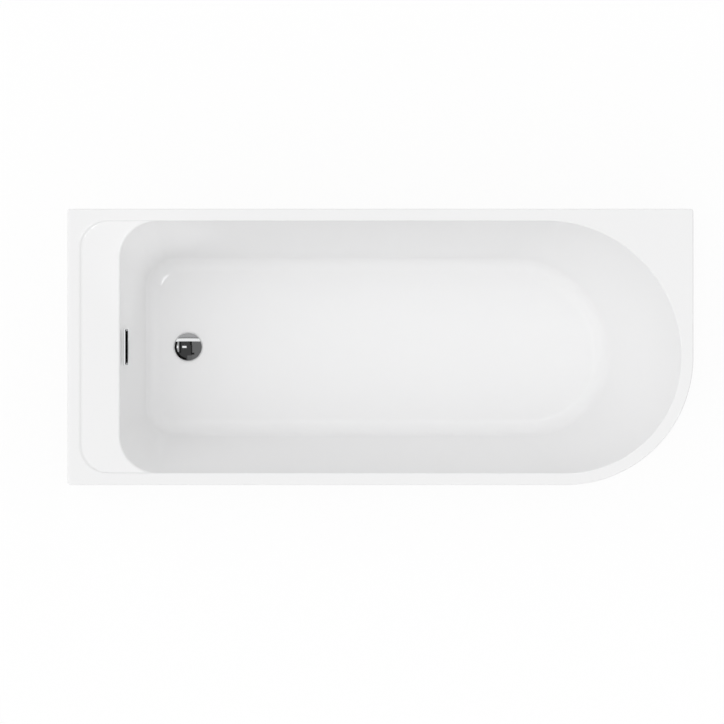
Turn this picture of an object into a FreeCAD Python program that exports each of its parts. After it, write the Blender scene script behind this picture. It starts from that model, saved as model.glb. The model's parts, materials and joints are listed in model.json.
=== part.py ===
# Corner bathtub with one free round corner, on an adjustable steel frame, with its waste and overflow.
# Frame: millimetres, +Z up. X runs along the back wall from the tap end (-X) to the round end (+X),
# Y runs from the front panel (-Y) to the back wall (+Y). The origin is on the floor under the middle.
import FreeCAD, Part
import math
import os

import Sketcher
from FreeCAD import Placement, Rotation, Vector

# Driving sizes, in millimetres. Each one is a cell of the sheet, under its own alias.
SIZES = {
    # Overall form
    "bath_length": 1700,
    "bath_width": 750,
    "bath_height": 580,
    "free_corner_radius": 347,
    "square_corner_radius": 8,
    "rim_width": 32,
    "lip_depth": 40,
    "sheet": 5,
    "rim_edge_radius": 4,
    # Ledge at the tap end and the basin below it: basin_depth is the depth in a bath of standard_height,
    # and a taller bath on the same frame and feet is deeper by the difference
    "standard_height": 580,
    "ledge_width": 110,
    "ledge_drop": 5,
    "ledge_step_run": 6,
    "ledge_corner_radius": 75,
    "basin_depth": 415,
    "basin_corner_radius": 100,
    "floor_corner_radius": 82,
    "tap_end_run": 78,
    "side_run": 110,
    "round_end_run": 211,
    "floor_fillet": 50,
    # Fits that all pieces share
    "fit_gap": 0.3,
    "bond_gap": 0.2,
    "overrun": 2,
    # Layers under the shell
    "glass_fibre": 3.5,
    "glass_fibre_top_drop": 34,
    "board_thickness": 15,
    "board_inset": 45,
    "board_cutout_width": 120,
    "board_cutout_reach": 82,
    "ledge_board_thickness": 12,
    "ledge_board_inset": 8,
    "ledge_board_length": 560,
    "batten_thickness": 16,
    "batten_height": 50,
    "batten_end_gap": 26,
    # Front panel
    "panel_inset": 5.5,
    "panel_thickness": 4,
    "panel_floor_gap": 10,
    "panel_top_gap": 3,
    "panel_end_gap": 12,
    "panel_return": 16,
    "top_rail_thickness": 8,
    "top_rail_height": 18,
    "backing_strip_thickness": 12,
    "backing_strip_height": 50,
    "backing_strip_length": 1180,
    "backing_strip_centre": -100,
    "panel_bracket_thickness": 3,
    "panel_bracket_leg": 34,
    "panel_bracket_overlap": 70,
    # Steel frame
    "tube_width": 25,
    "tube_wall": 2,
    "rail_spacing": 330,
    "rail_end_overhang": 14,
    "crossbar_length": 490,
    "crossbar_tap_end_x": -600,
    "crossbar_middle_x": -85,
    "crossbar_round_end_x": 410,
    "cap_thickness": 3,
    "cap_insert": 10,
    "bolt_radius": 3,
    "bolt_head_radius": 6,
    "bolt_head_height": 4,
    "bolt_length": 36,
    "short_bolt_length": 12,
    "bracket_bolt_inset": 50,
    "wood_screw_radius": 2,
    "wood_screw_head_radius": 4.2,
    "wood_screw_head_height": 2.8,
    "board_screw_length": 36,
    "short_screw_length": 12,
    "board_screw_pitch": 200,
    # Adjustable feet
    "foot_spacing": 450,
    "stud_radius": 6,
    "stud_top": 140,
    "stud_collar_radius": 7,
    "stud_collar_height": 8,
    "stud_seat": 6,
    "stud_hex_flats": 14,
    "stud_hex_low": 40,
    "stud_hex_height": 8,
    "pad_radius": 25,
    "pad_rim_height": 8,
    "pad_neck_radius": 12,
    "pad_height": 22,
    "nut_flats": 18,
    "nut_height": 8,
    # Wall brackets
    "wall_bracket_width": 40,
    "wall_bracket_thickness": 2.5,
    "wall_bracket_drop": 43,
    "wall_bracket_reach": 22,
    "wall_hole_radius": 3.25,
    "wall_hole_drop": 25,
    "wall_bracket_back_spacing": 1100,
    "wall_bracket_end_spacing": 460,
    "wall_bracket_end_y": 40,
    # Waste
    "waste_from_end": 328,
    "waste_recess_radius": 37.2,
    "waste_recess_depth": 4,
    "waste_hole_radius": 24,
    "flange_radius": 36,
    "flange_thickness": 2.8,
    "flange_seal": 1.2,
    "flange_seal_radius": 34,
    "tail_radius": 22.5,
    "tail_wall": 3,
    "tail_length": 32,
    "hub_radius": 12,
    "hub_height": 10,
    "hub_drop": 12,
    "spider_width": 5,
    "cartridge_radius": 8,
    "cartridge_wall": 2.7,
    "cartridge_length": 34,
    "cartridge_end": 2,
    "stem_radius": 5,
    "stem_length": 35,
    "spring_radius": 3.8,
    "spring_wire": 0.9,
    "cap_radius": 37.5,
    "cap_edge": 3,
    "cap_crown": 3,
    "cap_edge_radius": 1.2,
    "plug_seal_inner": 26,
    "plug_seal_outer": 33,
    "plug_seal_thickness": 1.7,
    "lower_seal_thickness": 3,
    "lower_seal_radius": 40,
    "body_flange_radius": 41,
    "body_flange_thickness": 4,
    "body_thread_length": 10,
    "cup_radius": 34,
    "cup_wall": 4,
    "cup_height": 28,
    "neck_radius": 23.9,
    "neck_wall": 3.4,
    "neck_length": 41,
    "port_drop": 13,
    "port_reach": 78,
    # Trap
    "trap_nut_radius": 33,
    "trap_nut_height": 24,
    "trap_nut_lip": 3,
    "trap_washer": 3,
    "trap_collar": 3,
    "trap_pipe_radius": 20.3,
    "trap_pipe_wall": 2.5,
    "trap_inlet_drop": 24,
    "trap_bend_radius": 28,
    "trap_rise": 4,
    "trap_outlet_bend_radius": 24,
    "trap_outlet_run": 20,
    "socket_radius": 25,
    "socket_bore_radius": 20.4,
    "socket_bore_length": 32,
    "socket_step": 4,
    "outlet_seal": 4,
    "outlet_nut_radius": 31,
    "outlet_nut_length": 28,
    "outlet_nut_lip": 6,
    # Overflow
    "overflow_drop": 68,
    "cover_length": 101,
    "cover_height": 15,
    "cover_depth": 12.6,
    "cover_wall": 1.3,
    "cover_corner_radius": 3.5,
    "cover_edge_radius": 1.2,
    "cover_slot_length": 86,
    "cover_slot_back": 5.8,
    "cover_boss_radius": 4,
    "cover_screw_spacing": 72,
    "neck_hole_length": 24,
    "neck_hole_radius": 5.7,
    "overflow_neck_wall": 1.5,
    "overflow_flange_length": 92,
    "overflow_flange_height": 34,
    "overflow_flange_corner": 8,
    "overflow_flange": 4,
    "overflow_gasket": 2.5,
    "chamber_radius": 15,
    "chamber_wall": 2.5,
    "chamber_reach": 45,
    "spigot_back": 30,
    "spigot_radius": 13.7,
    "spigot_wall": 2.5,
    "spigot_length": 48,
    "hose_start": 18.5,
    "hose_end": 46,
    "hose_bore_radius": 14,
    "hose_cuff_radius": 16,
    "hose_cuff_length": 30,
    "hose_root_radius": 15.2,
    "hose_crest_radius": 17,
    "hose_rib_pitch": 5,
    "hose_bend_radius": 64,
    "clip_thickness": 1.4,
    "clip_width": 9,
    "clip_housing_width": 12,
    "clip_housing_height": 5,
}

# Shares and counts
RIB_STATION_SHARES = (0.1, 0.4, 0.6, 0.9)
SPRING_TURNS = 6
HEX, GRIP_SIDES = 6, 12


class Size:
    """A length worked out from the sheet: its value now and the expression that keeps it bound."""

    def __init__(self, value, text):
        self.value = float(value)
        self.text = text

    @staticmethod
    def of(number):
        return number if isinstance(number, Size) else Size(number, repr(number))

    def __add__(self, other):
        other = Size.of(other)
        return Size(self.value + other.value, f"({self.text} + {other.text})")

    def __sub__(self, other):
        other = Size.of(other)
        return Size(self.value - other.value, f"({self.text} - {other.text})")

    def __mul__(self, other):
        other = Size.of(other)
        return Size(self.value * other.value, f"({self.text} * {other.text})")

    def __truediv__(self, other):
        other = Size.of(other)
        return Size(self.value / other.value, f"({self.text} / {other.text})")

    def __neg__(self):
        return Size(-self.value, f"(-{self.text})")


class Sheet:
    """The spreadsheet of driving sizes; each alias reads as an attribute."""

    def __init__(self, doc, sizes):
        self._cells = doc.addObject("Spreadsheet::Sheet", "Sizes")
        self._sizes = sizes
        for row, (alias, value) in enumerate(sizes.items(), start=1):
            self._cells.set(f"A{row}", alias)
            self._cells.set(f"B{row}", str(value))
            self._cells.setAlias(f"B{row}", alias)

    def __getattr__(self, alias):
        return Size(self._sizes[alias], f"Sizes.{alias}")


doc = FreeCAD.newDocument("corner_bath")
s = Sheet(doc, SIZES)
doc.recompute()
ZERO = Size(0, "0")
PIECES = {}


# Sketches and features

def body(label):
    """A new body."""
    made = doc.addObject("PartDesign::Body", label)
    made.Label = label
    return made


def sketch(owner, plane, lift=ZERO):
    """A sketch of a body, on one of its origin planes, lifted along that plane's normal."""
    made = owner.newObject("Sketcher::SketchObject", f"{owner.Name}_sketch")
    origin_plane = next(f for f in owner.Origin.OriginFeatures if f.Role == plane)
    made.AttachmentSupport = [(origin_plane, "")]
    made.MapMode = "FlatFace"
    made.AttachmentOffset = Placement(Vector(0, 0, lift.value), Rotation())
    made.setExpression("AttachmentOffset.Base.z", lift.text)
    return made


def pin_point(target, geometry, position, x, y):
    """Ties one point of a sketch to the sheet, measured from the sketch's origin."""
    for kind, distance in (("DistanceX", x), ("DistanceY", y)):
        index = target.addConstraint(
            Sketcher.Constraint(kind, -1, 1, geometry, position, distance.value))
        target.setExpression(f"Constraints[{index}]", distance.text)


def draw_circle(target, x, y, radius):
    """Adds a circle tied to the sheet."""
    circle = Part.Circle(Vector(x.value, y.value, 0), Vector(0, 0, 1), radius.value)
    geometry = target.addGeometry(circle)
    pin_point(target, geometry, 3, x, y)
    index = target.addConstraint(Sketcher.Constraint("Radius", geometry, radius.value))
    target.setExpression(f"Constraints[{index}]", radius.text)


def arc_centre(start, end, radius):
    """Centre of an arc of under half a turn; a positive radius turns left on the way to its end."""
    middle = (start + end) / 2
    chord = end - start
    rise = math.sqrt(max(radius ** 2 - (chord.Length / 2) ** 2, 0.0))
    left = Vector(-chord.y, chord.x, 0).normalize()
    return middle + left * math.copysign(rise, radius)


def draw_outline(target, corners, closed=True):
    """Adds an outline tied to the sheet.

    Each corner is (x, y, bend): the run to the next corner is straight where bend is None, and otherwise
    an arc of that radius, to the left if it is positive.
    """
    points = [Vector(x.value, y.value, 0) for x, y, _ in corners]
    runs = len(corners) if closed else len(corners) - 1
    made = []
    for i in range(runs):
        start, end, bend = points[i], points[(i + 1) % len(points)], corners[i][2]
        if bend is None:
            made.append((target.addGeometry(Part.LineSegment(start, end)), 1, 2))
            continue
        centre = arc_centre(start, end, bend.value)
        ends = (start, end) if bend.value > 0 else (end, start)
        angles = [math.atan2(p.y - centre.y, p.x - centre.x) for p in ends]
        circle = Part.Circle(centre, Vector(0, 0, 1), abs(bend.value))
        arc = target.addGeometry(Part.ArcOfCircle(circle, *angles))
        made.append((arc, 1, 2) if bend.value > 0 else (arc, 2, 1))
        index = target.addConstraint(Sketcher.Constraint("Radius", arc, abs(bend.value)))
        target.setExpression(f"Constraints[{index}]", f"abs({bend.text})")
    for i in range(runs if closed else runs - 1):
        here, after = made[i], made[(i + 1) % runs]
        target.addConstraint(Sketcher.Constraint("Coincident", here[0], here[2], after[0], after[1]))
    for (geometry, first, _), (x, y, _) in zip(made, corners):
        pin_point(target, geometry, first, x, y)
    if not closed:
        pin_point(target, made[-1][0], made[-1][2], corners[-1][0], corners[-1][1])


def extrude(owner, profile, length, cut=False, backwards=False):
    """A pad, or a pocket where cut is set, of a sketch along its normal."""
    kind = "PartDesign::Pocket" if cut else "PartDesign::Pad"
    made = owner.newObject(kind, f"{owner.Name}_run")
    made.Profile = profile
    made.Length = length.value
    made.setExpression("Length", length.text)
    made.Reversed = backwards
    doc.recompute()
    return made


def loft(owner, sections, cut=False):
    """A ruled loft through sketches, added to the body or cut from it."""
    kind = "PartDesign::SubtractiveLoft" if cut else "PartDesign::AdditiveLoft"
    made = owner.newObject(kind, f"{owner.Name}_loft")
    made.Profile = sections[0]
    made.Sections = sections[1:]
    made.Ruled = True
    doc.recompute()
    return made


def edges_at(shape, axis, value):
    """Names of the edges that lie flat at a value along X, Y or Z."""
    names = []
    for number, edge in enumerate(shape.Edges, start=1):
        box = edge.BoundBox
        low, high = getattr(box, f"{axis}Min"), getattr(box, f"{axis}Max")
        if abs(low - value) < FLAT and abs(high - value) < FLAT:
            names.append(f"Edge{number}")
    return names


def fillet(owner, edge_names, radius):
    """Rounds edges of the body's last feature."""
    base = owner.Tip
    made = owner.newObject("PartDesign::Fillet", f"{owner.Name}_fillet")
    made.Base = (base, edge_names)
    made.Radius = radius.value
    made.setExpression("Radius", radius.text)
    doc.recompute()
    return made


FLAT = 1e-4
PLAN, FRONT, SIDE = "XY_Plane", "XZ_Plane", "YZ_Plane"

# Levels and lines that several pieces share
rim_top = s.bath_height
floor_top = s.standard_height - s.basin_depth
floor_drop = rim_top - floor_top
half_length = s.bath_length / 2
half_width = s.bath_width / 2
corner_y = s.free_corner_radius - half_width


def rim_outline(inset):
    """The plan of the rim, drawn in by an inset: square corners, and one large free round corner."""
    left, right = inset - half_length, half_length - inset
    front, back = inset - half_width, half_width - inset
    small, large = s.square_corner_radius - inset / 2, s.free_corner_radius - inset
    return [
        (left + small, front, None),
        (right - large, front, large),
        (right, front + large, None),
        (right, back - small, small),
        (right - small, back, None),
        (left + small, back, small),
        (left, back - small, None),
        (left, front + small, small),
    ]


def well_outline(drop, left, left_radius, grow):
    """The plan of the well at a drop below the rim, grown outwards: a D at the round end."""
    share = drop / floor_drop
    side = half_width - s.rim_width - s.side_run * share + grow
    right = half_length - s.rim_width - s.round_end_run * share + grow
    front_radius, back_radius = side + corner_y, side - corner_y
    left, left_radius = left - grow, left_radius + grow
    return [
        (left + left_radius, -side, None),
        (right - front_radius, -side, front_radius),
        (right, corner_y, back_radius),
        (right - back_radius, side, None),
        (left + left_radius, side, left_radius),
        (left, side - left_radius, None),
        (left, left_radius - side, left_radius),
    ]


def ledge_section(owner, drop, grow=ZERO):
    """Sketch of the shallow upper well, which reaches over the ledge."""
    share = drop / s.ledge_drop
    left = s.rim_width - half_length + s.ledge_step_run * share
    made = sketch(owner, PLAN, rim_top - drop)
    draw_outline(made, well_outline(drop, left, s.ledge_corner_radius, grow))
    return made


def basin_share(drop):
    """How far down the basin, from the ledge to the floor, a drop below the rim lies."""
    return (drop - s.ledge_drop) / (floor_drop - s.ledge_drop)


def tap_wall_x(drop):
    """Where the basin's tap-end wall stands at a drop below the rim."""
    return s.rim_width + s.ledge_width - half_length + s.tap_end_run * basin_share(drop)


def basin_section(owner, drop, grow=ZERO):
    """Sketch of the basin proper, below the ledge."""
    narrowing = s.basin_corner_radius - s.floor_corner_radius
    radius = s.basin_corner_radius - narrowing * basin_share(drop)
    made = sketch(owner, PLAN, rim_top - drop)
    draw_outline(made, well_outline(drop, tap_wall_x(drop), radius, grow))
    return made


def well_form(label, grow, drop):
    """The well as a solid, grown outwards: the part over the ledge, the basin and the rounded floor."""
    form = body(label)
    ledge = s.ledge_drop + drop
    floor = floor_drop + drop
    loft(form, [ledge_section(form, ZERO, grow), ledge_section(form, ledge, grow)])
    loft(form, [basin_section(form, ledge, grow), basin_section(form, floor, grow)])
    fillet(form, edges_at(form.Shape, "Z", rim_top.value - floor.value), s.floor_fillet + grow)
    return form


def combine(owner, tools, kind):
    """Joins other bodies to a body, or cuts them from it."""
    made = owner.newObject("PartDesign::Boolean", f"{owner.Name}_{kind.lower()}")
    made.Type = kind
    made.Group = tools
    doc.recompute()
    return made


def turn(owner, corners, cut=False):
    """A revolution about the body's own upright axis, of an outline of (radius, height) corners."""
    profile = sketch(owner, FRONT)
    draw_outline(profile, corners)
    kind = "PartDesign::Groove" if cut else "PartDesign::Revolution"
    made = owner.newObject(kind, f"{owner.Name}_turn")
    made.Profile = profile
    made.ReferenceAxis = (profile, ["V_Axis"])
    doc.recompute()
    return made


def sweep(owner, path, radius, lift, cut=False):
    """A round pipe along a path that starts upright on the body's own axis, at a height."""
    profile = sketch(owner, PLAN, lift)
    draw_circle(profile, ZERO, ZERO, radius)
    kind = "PartDesign::SubtractivePipe" if cut else "PartDesign::AdditivePipe"
    made = owner.newObject(kind, f"{owner.Name}_pipe")
    made.Profile = profile
    made.Spine = path
    doc.recompute()
    return made


def drill(owner, plane, start, depth, places, radius, backwards=True):
    """Round holes from a plane, at places given in that plane."""
    holes = sketch(owner, plane, start)
    for x, y in places:
        draw_circle(holes, x, y, radius)
    extrude(owner, holes, depth, cut=True, backwards=backwards)


def stud(owner, plane, start, length, places, radius, backwards=False):
    """Round bosses from a plane, at places given in that plane."""
    bosses = sketch(owner, plane, start)
    for x, y in places:
        draw_circle(bosses, x, y, radius)
    extrude(owner, bosses, length, backwards=backwards)


def slab(owner, plane, start, length, *outlines, cut=False, backwards=False):
    """A pad or pocket of one or more outlines, nested ones being holes."""
    face = sketch(owner, plane, start)
    for corners in outlines:
        draw_outline(face, corners)
    extrude(owner, face, length, cut=cut, backwards=backwards)


def rectangle(x0, x1, y0, y1):
    """Corners of a rectangle."""
    return [(x0, y0, None), (x1, y0, None), (x1, y1, None), (x0, y1, None)]


def rounded_rectangle(half_x, half_y, radius):
    """Corners of a rounded rectangle about the origin."""
    flat_x, flat_y = half_x - radius, half_y - radius
    return [
        (-flat_x, -half_y, None),
        (flat_x, -half_y, radius),
        (half_x, -flat_y, None),
        (half_x, flat_y, radius),
        (flat_x, half_y, None),
        (-flat_x, half_y, radius),
        (-half_x, flat_y, None),
        (-half_x, -flat_y, radius),
    ]


def polygon(sides, flats):
    """Corners of a regular prism about the origin, given across its flats."""
    reach_share = 0.5 / math.cos(math.pi / sides)
    turns = [2 * math.pi * i / sides for i in range(sides)]
    corner_shares = [(reach_share * math.cos(a), reach_share * math.sin(a)) for a in turns]
    return [(flats * x_share, flats * y_share, None) for x_share, y_share in corner_shares]


def place(target, x=ZERO, y=ZERO, z=ZERO, axis=Vector(0, 0, 1), angle=None):
    """Sets a body or copy at its place, tied to the sheet."""
    turned = Rotation(axis, angle.value) if angle else Rotation()
    target.Placement = Placement(Vector(x.value, y.value, z.value), turned)
    for name, distance in (("x", x), ("y", y), ("z", z)):
        target.setExpression(f"Placement.Base.{name}", distance.text)
    if angle:
        target.setExpression("Placement.Rotation.Angle", angle.text)


def copies(label, places):
    """One piece made of copies: each is (source, place), the place given as for place()."""
    links = []
    for source, where in places:
        link = doc.addObject("App::Link", f"{label}_copy")
        link.LinkedObject = source
        place(link, **where)
        links.append(link)
    made = doc.addObject("Part::Compound", label)
    made.Label = label
    made.Links = links
    doc.recompute()
    PIECES[label] = made
    return made


def ring(label, inner, outer, low, high):
    """A turned ring about its own upright axis."""
    made = body(label)
    turn(made, rectangle(inner, outer, low, high))
    return made


def finish(piece):
    """Lists a body among the pieces."""
    PIECES[piece.Label] = piece
    return piece


def feature(label, shape):
    """Keeps a computed solid as a piece."""
    made = doc.addObject("Part::Feature", label)
    made.Label = label
    made.Shape = shape
    PIECES[label] = made
    return made


def slope(run, fall):
    """Lean of a wall, as an angle."""
    return Size(math.degrees(math.atan2(run.value, fall.value)), f"atan({run.text} / {fall.text})")


def cosine(angle):
    return Size(math.cos(math.radians(angle.value)), f"cos({angle.text})")


def sine(angle):
    return Size(math.sin(math.radians(angle.value)), f"sin({angle.text})")


X_AXIS, Y_AXIS, Z_AXIS = Vector(1, 0, 0), Vector(0, 1, 0), Vector(0, 0, 1)
QUARTER = Size(90, "90 deg")

# Levels of the stack under the floor, from the top down
backing_grow = s.sheet + s.bond_gap
backing_drop = backing_grow + s.glass_fibre
board_top = floor_top - backing_drop
rail_top = board_top - s.board_thickness
bar_top = rail_top - s.tube_width
bar_bottom = bar_top - s.tube_width
recess_floor = floor_top - s.waste_recess_depth
dish_radius = s.waste_recess_radius + s.sheet
dish_bottom = recess_floor - s.sheet
waste_x = s.waste_from_end - half_length

# The overflow's own frame: X out of the tap-end wall into the basin, Z up along the wall
wall_lean = slope(s.tap_end_run, floor_drop - s.ledge_drop)
wall_back = backing_drop * cosine(wall_lean)
overflow_x = tap_wall_x(s.overflow_drop)
overflow_z = rim_top - s.overflow_drop
screw_y = s.cover_screw_spacing / 2
overflow_screws_at = [(-screw_y, ZERO), (screw_y, ZERO)]
overflow_screw_hole = s.wood_screw_radius + s.fit_gap


def place_on_wall(piece):
    place(piece, overflow_x, ZERO, overflow_z, Y_AXIS, -wall_lean)
    return piece


def neck_outline(inset):
    """The oblong hole through the tap-end wall, drawn in by an inset."""
    half_y, half_z = s.neck_hole_length / 2 - inset, s.neck_hole_radius - inset
    return rounded_rectangle(half_y, half_z, half_z - s.fit_gap)


def overflow_bores(label):
    """The holes that the overflow needs through the tap-end wall, as a solid to cut away."""
    bores = body(label)
    reach = wall_back + s.overrun
    slab(bores, SIDE, -reach, reach + s.overrun, neck_outline(ZERO))
    stud(bores, SIDE, -reach, reach + s.overrun, overflow_screws_at, overflow_screw_hole)
    return place_on_wall(bores)


# Tub

def acrylic_shell():
    shell = body("acrylic_shell")
    slab(shell, PLAN, rim_top, s.lip_depth, rim_outline(ZERO), backwards=True)
    hollow = s.lip_depth - s.sheet
    slab(shell, PLAN, rim_top - s.lip_depth, hollow, rim_outline(s.sheet), cut=True, backwards=True)
    combine(shell, [well_form("well_outside", s.sheet, s.sheet)], "Fuse")
    stud(shell, PLAN, dish_bottom, s.waste_recess_depth + s.sheet, [(waste_x, ZERO)], dish_radius)
    combine(shell, [well_form("well_inside", ZERO, ZERO), overflow_bores("shell_overflow_bores")], "Cut")
    waste = [(waste_x, ZERO)]
    drill(shell, PLAN, recess_floor, s.waste_recess_depth + s.overrun, waste, s.waste_recess_radius)
    drill(shell, PLAN, dish_bottom - s.overrun, s.sheet + s.overrun * 2, waste, s.waste_hole_radius)
    fillet(shell, edges_at(shell.Shape, "Z", rim_top.value), s.rim_edge_radius)
    return finish(shell)


def backing_form(label, grow, top_drop):
    """The basin below a drop, grown outwards, with its rounded floor."""
    form = body(label)
    floor = floor_drop + grow
    loft(form, [basin_section(form, top_drop, grow), basin_section(form, floor, grow)])
    fillet(form, edges_at(form.Shape, "Z", rim_top.value - floor.value), s.floor_fillet + grow)
    return form


def glass_fibre_backing():
    backing = backing_form("glass_fibre_backing", backing_drop, s.glass_fibre_top_drop)
    inside = backing_form("backing_inside", backing_grow, s.glass_fibre_top_drop - s.overrun)
    combine(backing, [inside, overflow_bores("backing_overflow_bores")], "Cut")
    hole = dish_radius + s.bond_gap
    drill(backing, PLAN, board_top - s.overrun, s.board_thickness, [(waste_x, ZERO)], hole)
    return finish(backing)


def base_board():
    board = body("base_board")
    outline = well_outline(floor_drop, tap_wall_x(floor_drop), s.floor_corner_radius, -s.board_inset)
    slab(board, PLAN, rail_top, s.board_thickness, outline)
    cutout = rectangle(-half_length, waste_x + s.board_cutout_reach,
                       -s.board_cutout_width / 2, s.board_cutout_width / 2)
    slab(board, PLAN, rail_top, s.board_thickness, cutout, cut=True, backwards=True)
    depth = s.board_screw_length - s.tube_width + s.fit_gap
    drill(board, PLAN, rail_top, depth, board_screw_places(), s.wood_screw_radius + s.fit_gap)
    return finish(board)


def board_screw_places():
    """Where the board is screwed down: two rows along the rails."""
    rows = [-s.rail_spacing / 2, s.rail_spacing / 2]
    middle = (s.crossbar_tap_end_x + s.crossbar_round_end_x) / 2
    pitch_shares = (-1.5, -0.5, 0.5, 1.5)
    return [(middle + s.board_screw_pitch * share, y) for y in rows for share in pitch_shares]


def tap_ledge_board():
    board = body("tap_ledge_board")
    left = s.rim_width - half_length + s.ledge_board_inset
    right = left + s.ledge_width - s.ledge_board_inset * 2
    half = s.ledge_board_length / 2
    low = rim_top - s.ledge_drop - s.sheet - s.ledge_board_thickness
    slab(board, PLAN, low, s.ledge_board_thickness, rectangle(left, right, -half, half))
    return finish(board)


batten_low = rim_top - s.sheet - s.batten_height
batten_face = s.sheet + s.fit_gap
batten_screw_line = batten_face + s.batten_thickness / 2


def batten(label, x0, x1, y0, y1, screws):
    """A timber batten under the rim, with blind holes for the screws of its wall brackets."""
    made = body(label)
    slab(made, PLAN, batten_low, s.batten_height, rectangle(x0, x1, y0, y1))
    drill(made, PLAN, batten_low, s.short_screw_length, screws, s.wood_screw_radius + s.fit_gap)
    return finish(made)


def battens():
    back = half_width - batten_face
    end = batten_face - half_length
    along = half_length - s.batten_end_gap
    across = half_width - s.batten_end_gap
    batten("rim_batten_back", -along, along, back - s.batten_thickness, back, back_bracket_screws)
    batten("rim_batten_end", end, end + s.batten_thickness, -across, across, end_bracket_screws)


# Front panel, which follows the front, the free corner and the round end

def j_strip(inset, width):
    """Plan of a strip that runs parallel to the rim along the front, the free corner and the round end."""
    left, back = s.panel_end_gap - half_length, half_width - s.panel_end_gap
    front, right = inset - half_width, half_length - inset
    large = s.free_corner_radius - inset
    return [
        (left, front, None),
        (right - large, front, large),
        (right, front + large, None),
        (right, back, None),
        (right - width, back, None),
        (right - width, front + large, width - large),
        (right - large, front + width, None),
        (left, front + width, None),
    ]


panel_back = s.panel_inset + s.panel_thickness
strip_low = bar_bottom + s.tube_width / 2 - s.backing_strip_height / 2
strip_face_y = panel_back + s.fit_gap + s.backing_strip_thickness - half_width
bar_axis_z = bar_bottom + s.tube_width / 2
crossbar_xs = {
    "crossbar_tap_end": s.crossbar_tap_end_x,
    "crossbar_middle": s.crossbar_middle_x,
    "crossbar_round_end": s.crossbar_round_end_x,
}
bracket_screw_x = s.tube_width / 2 + s.panel_bracket_leg / 2 + s.panel_bracket_thickness
bracket_bolt_y = s.bracket_bolt_inset - s.crossbar_length / 2


def front_panel():
    panel = body("front_panel")
    height = rim_top - s.sheet - s.panel_top_gap - s.panel_floor_gap
    slab(panel, PLAN, s.panel_floor_gap, height, j_strip(s.panel_inset, s.panel_thickness))
    slab(panel, PLAN, s.panel_floor_gap, s.panel_thickness, j_strip(s.panel_inset, s.panel_return))
    finish(panel)

    rail = body("panel_top_rail")
    low = rim_top - s.sheet - s.top_rail_height
    slab(rail, PLAN, low, s.top_rail_height, j_strip(panel_back + s.fit_gap, s.top_rail_thickness))
    finish(rail)

    strip = body("panel_backing_strip")
    half = s.backing_strip_length / 2
    front = strip_face_y - s.backing_strip_thickness
    outline = rectangle(s.backing_strip_centre - half, s.backing_strip_centre + half, front, strip_face_y)
    slab(strip, PLAN, strip_low, s.backing_strip_height, outline)
    screws = [(x + bracket_screw_x, bar_axis_z) for x in crossbar_xs.values()]
    drill(strip, FRONT, -strip_face_y, s.short_screw_length - s.panel_bracket_thickness + s.fit_gap, screws,
          s.wood_screw_radius + s.fit_gap)
    finish(strip)


def panel_bracket():
    """One bent strap from a crossbar's side to the strip behind the panel, with its crossbar at x = 0."""
    bracket = body("panel_bracket_pattern")
    side = s.tube_width / 2
    tip = strip_face_y + s.panel_bracket_thickness
    inner = s.panel_bracket_overlap - s.crossbar_length / 2
    outer = side + s.panel_bracket_thickness
    leg = outer + s.panel_bracket_leg
    outline = [
        (side, strip_face_y, None),
        (leg, strip_face_y, None),
        (leg, tip, None),
        (outer, tip, None),
        (outer, inner, None),
        (side, inner, None),
    ]
    slab(bracket, PLAN, bar_bottom, s.tube_width, outline)
    drill(bracket, SIDE, side - s.overrun, s.panel_bracket_thickness + s.overrun * 2,
          [(bracket_bolt_y, bar_axis_z)], s.bolt_radius + s.fit_gap)
    drill(bracket, FRONT, s.overrun - tip - s.panel_bracket_thickness, s.panel_bracket_thickness * 3,
          [(bracket_screw_x, bar_axis_z)], s.wood_screw_radius + s.fit_gap, backwards=True)
    return bracket


def headed(label, radius, length, head_radius, head_height):
    """A headed screw: its head below z = 0, its shank up from there."""
    made = body(label)
    turn(made, [
        (ZERO, -head_height, None),
        (head_radius, -head_height, None),
        (head_radius, ZERO, None),
        (radius, ZERO, None),
        (radius, length, None),
        (ZERO, length, None),
    ])
    return made


def panel_fixings():
    bracket = panel_bracket()
    copies("panel_brackets", [(bracket, {"x": x}) for x in crossbar_xs.values()])
    bolt = headed("short_bolt", s.bolt_radius, s.short_bolt_length, s.bolt_head_radius, s.bolt_head_height)
    screw = headed("short_screw", s.wood_screw_radius, s.short_screw_length,
                   s.wood_screw_head_radius, s.wood_screw_head_height)
    outer = s.tube_width / 2 + s.panel_bracket_thickness
    tip = strip_face_y + s.panel_bracket_thickness
    places = []
    for x in crossbar_xs.values():
        into_bar = {"axis": Y_AXIS, "angle": -QUARTER}
        into_strip = {"axis": X_AXIS, "angle": QUARTER}
        places.append((bolt, {"x": x + outer, "y": bracket_bolt_y, "z": bar_axis_z, **into_bar}))
        places.append((screw, {"x": x + bracket_screw_x, "y": tip, "z": bar_axis_z, **into_strip}))
    copies("panel_bracket_screws", places)
    return screw


# Steel frame

rail_left = s.crossbar_tap_end_x - s.rail_end_overhang
rail_right = s.crossbar_round_end_x + s.rail_end_overhang
rail_ys = [-s.rail_spacing / 2, s.rail_spacing / 2]
foot_ys = [-s.foot_spacing / 2, s.foot_spacing / 2]


def tube_outlines(x, y):
    """Outer and inner squares of a tube about a point."""
    half, inner = s.tube_width / 2, s.tube_width / 2 - s.tube_wall
    return [rectangle(x - reach, x + reach, y - reach, y + reach) for reach in (half, inner)]


def frame_rail(label, y):
    rail = body(label)
    slab(rail, SIDE, rail_left, rail_right - rail_left, *tube_outlines(y, bar_top + s.tube_width / 2))
    drill(rail, PLAN, bar_top - s.overrun, s.tube_wall + s.overrun * 2,
          [(x, y) for x in crossbar_xs.values()], s.bolt_radius + s.fit_gap)
    drill(rail, PLAN, bar_top - s.overrun, s.tube_width + s.overrun * 2,
          [(x, row) for x, row in board_screw_places() if row.value == y.value],
          s.wood_screw_radius + s.fit_gap)
    return finish(rail)


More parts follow.
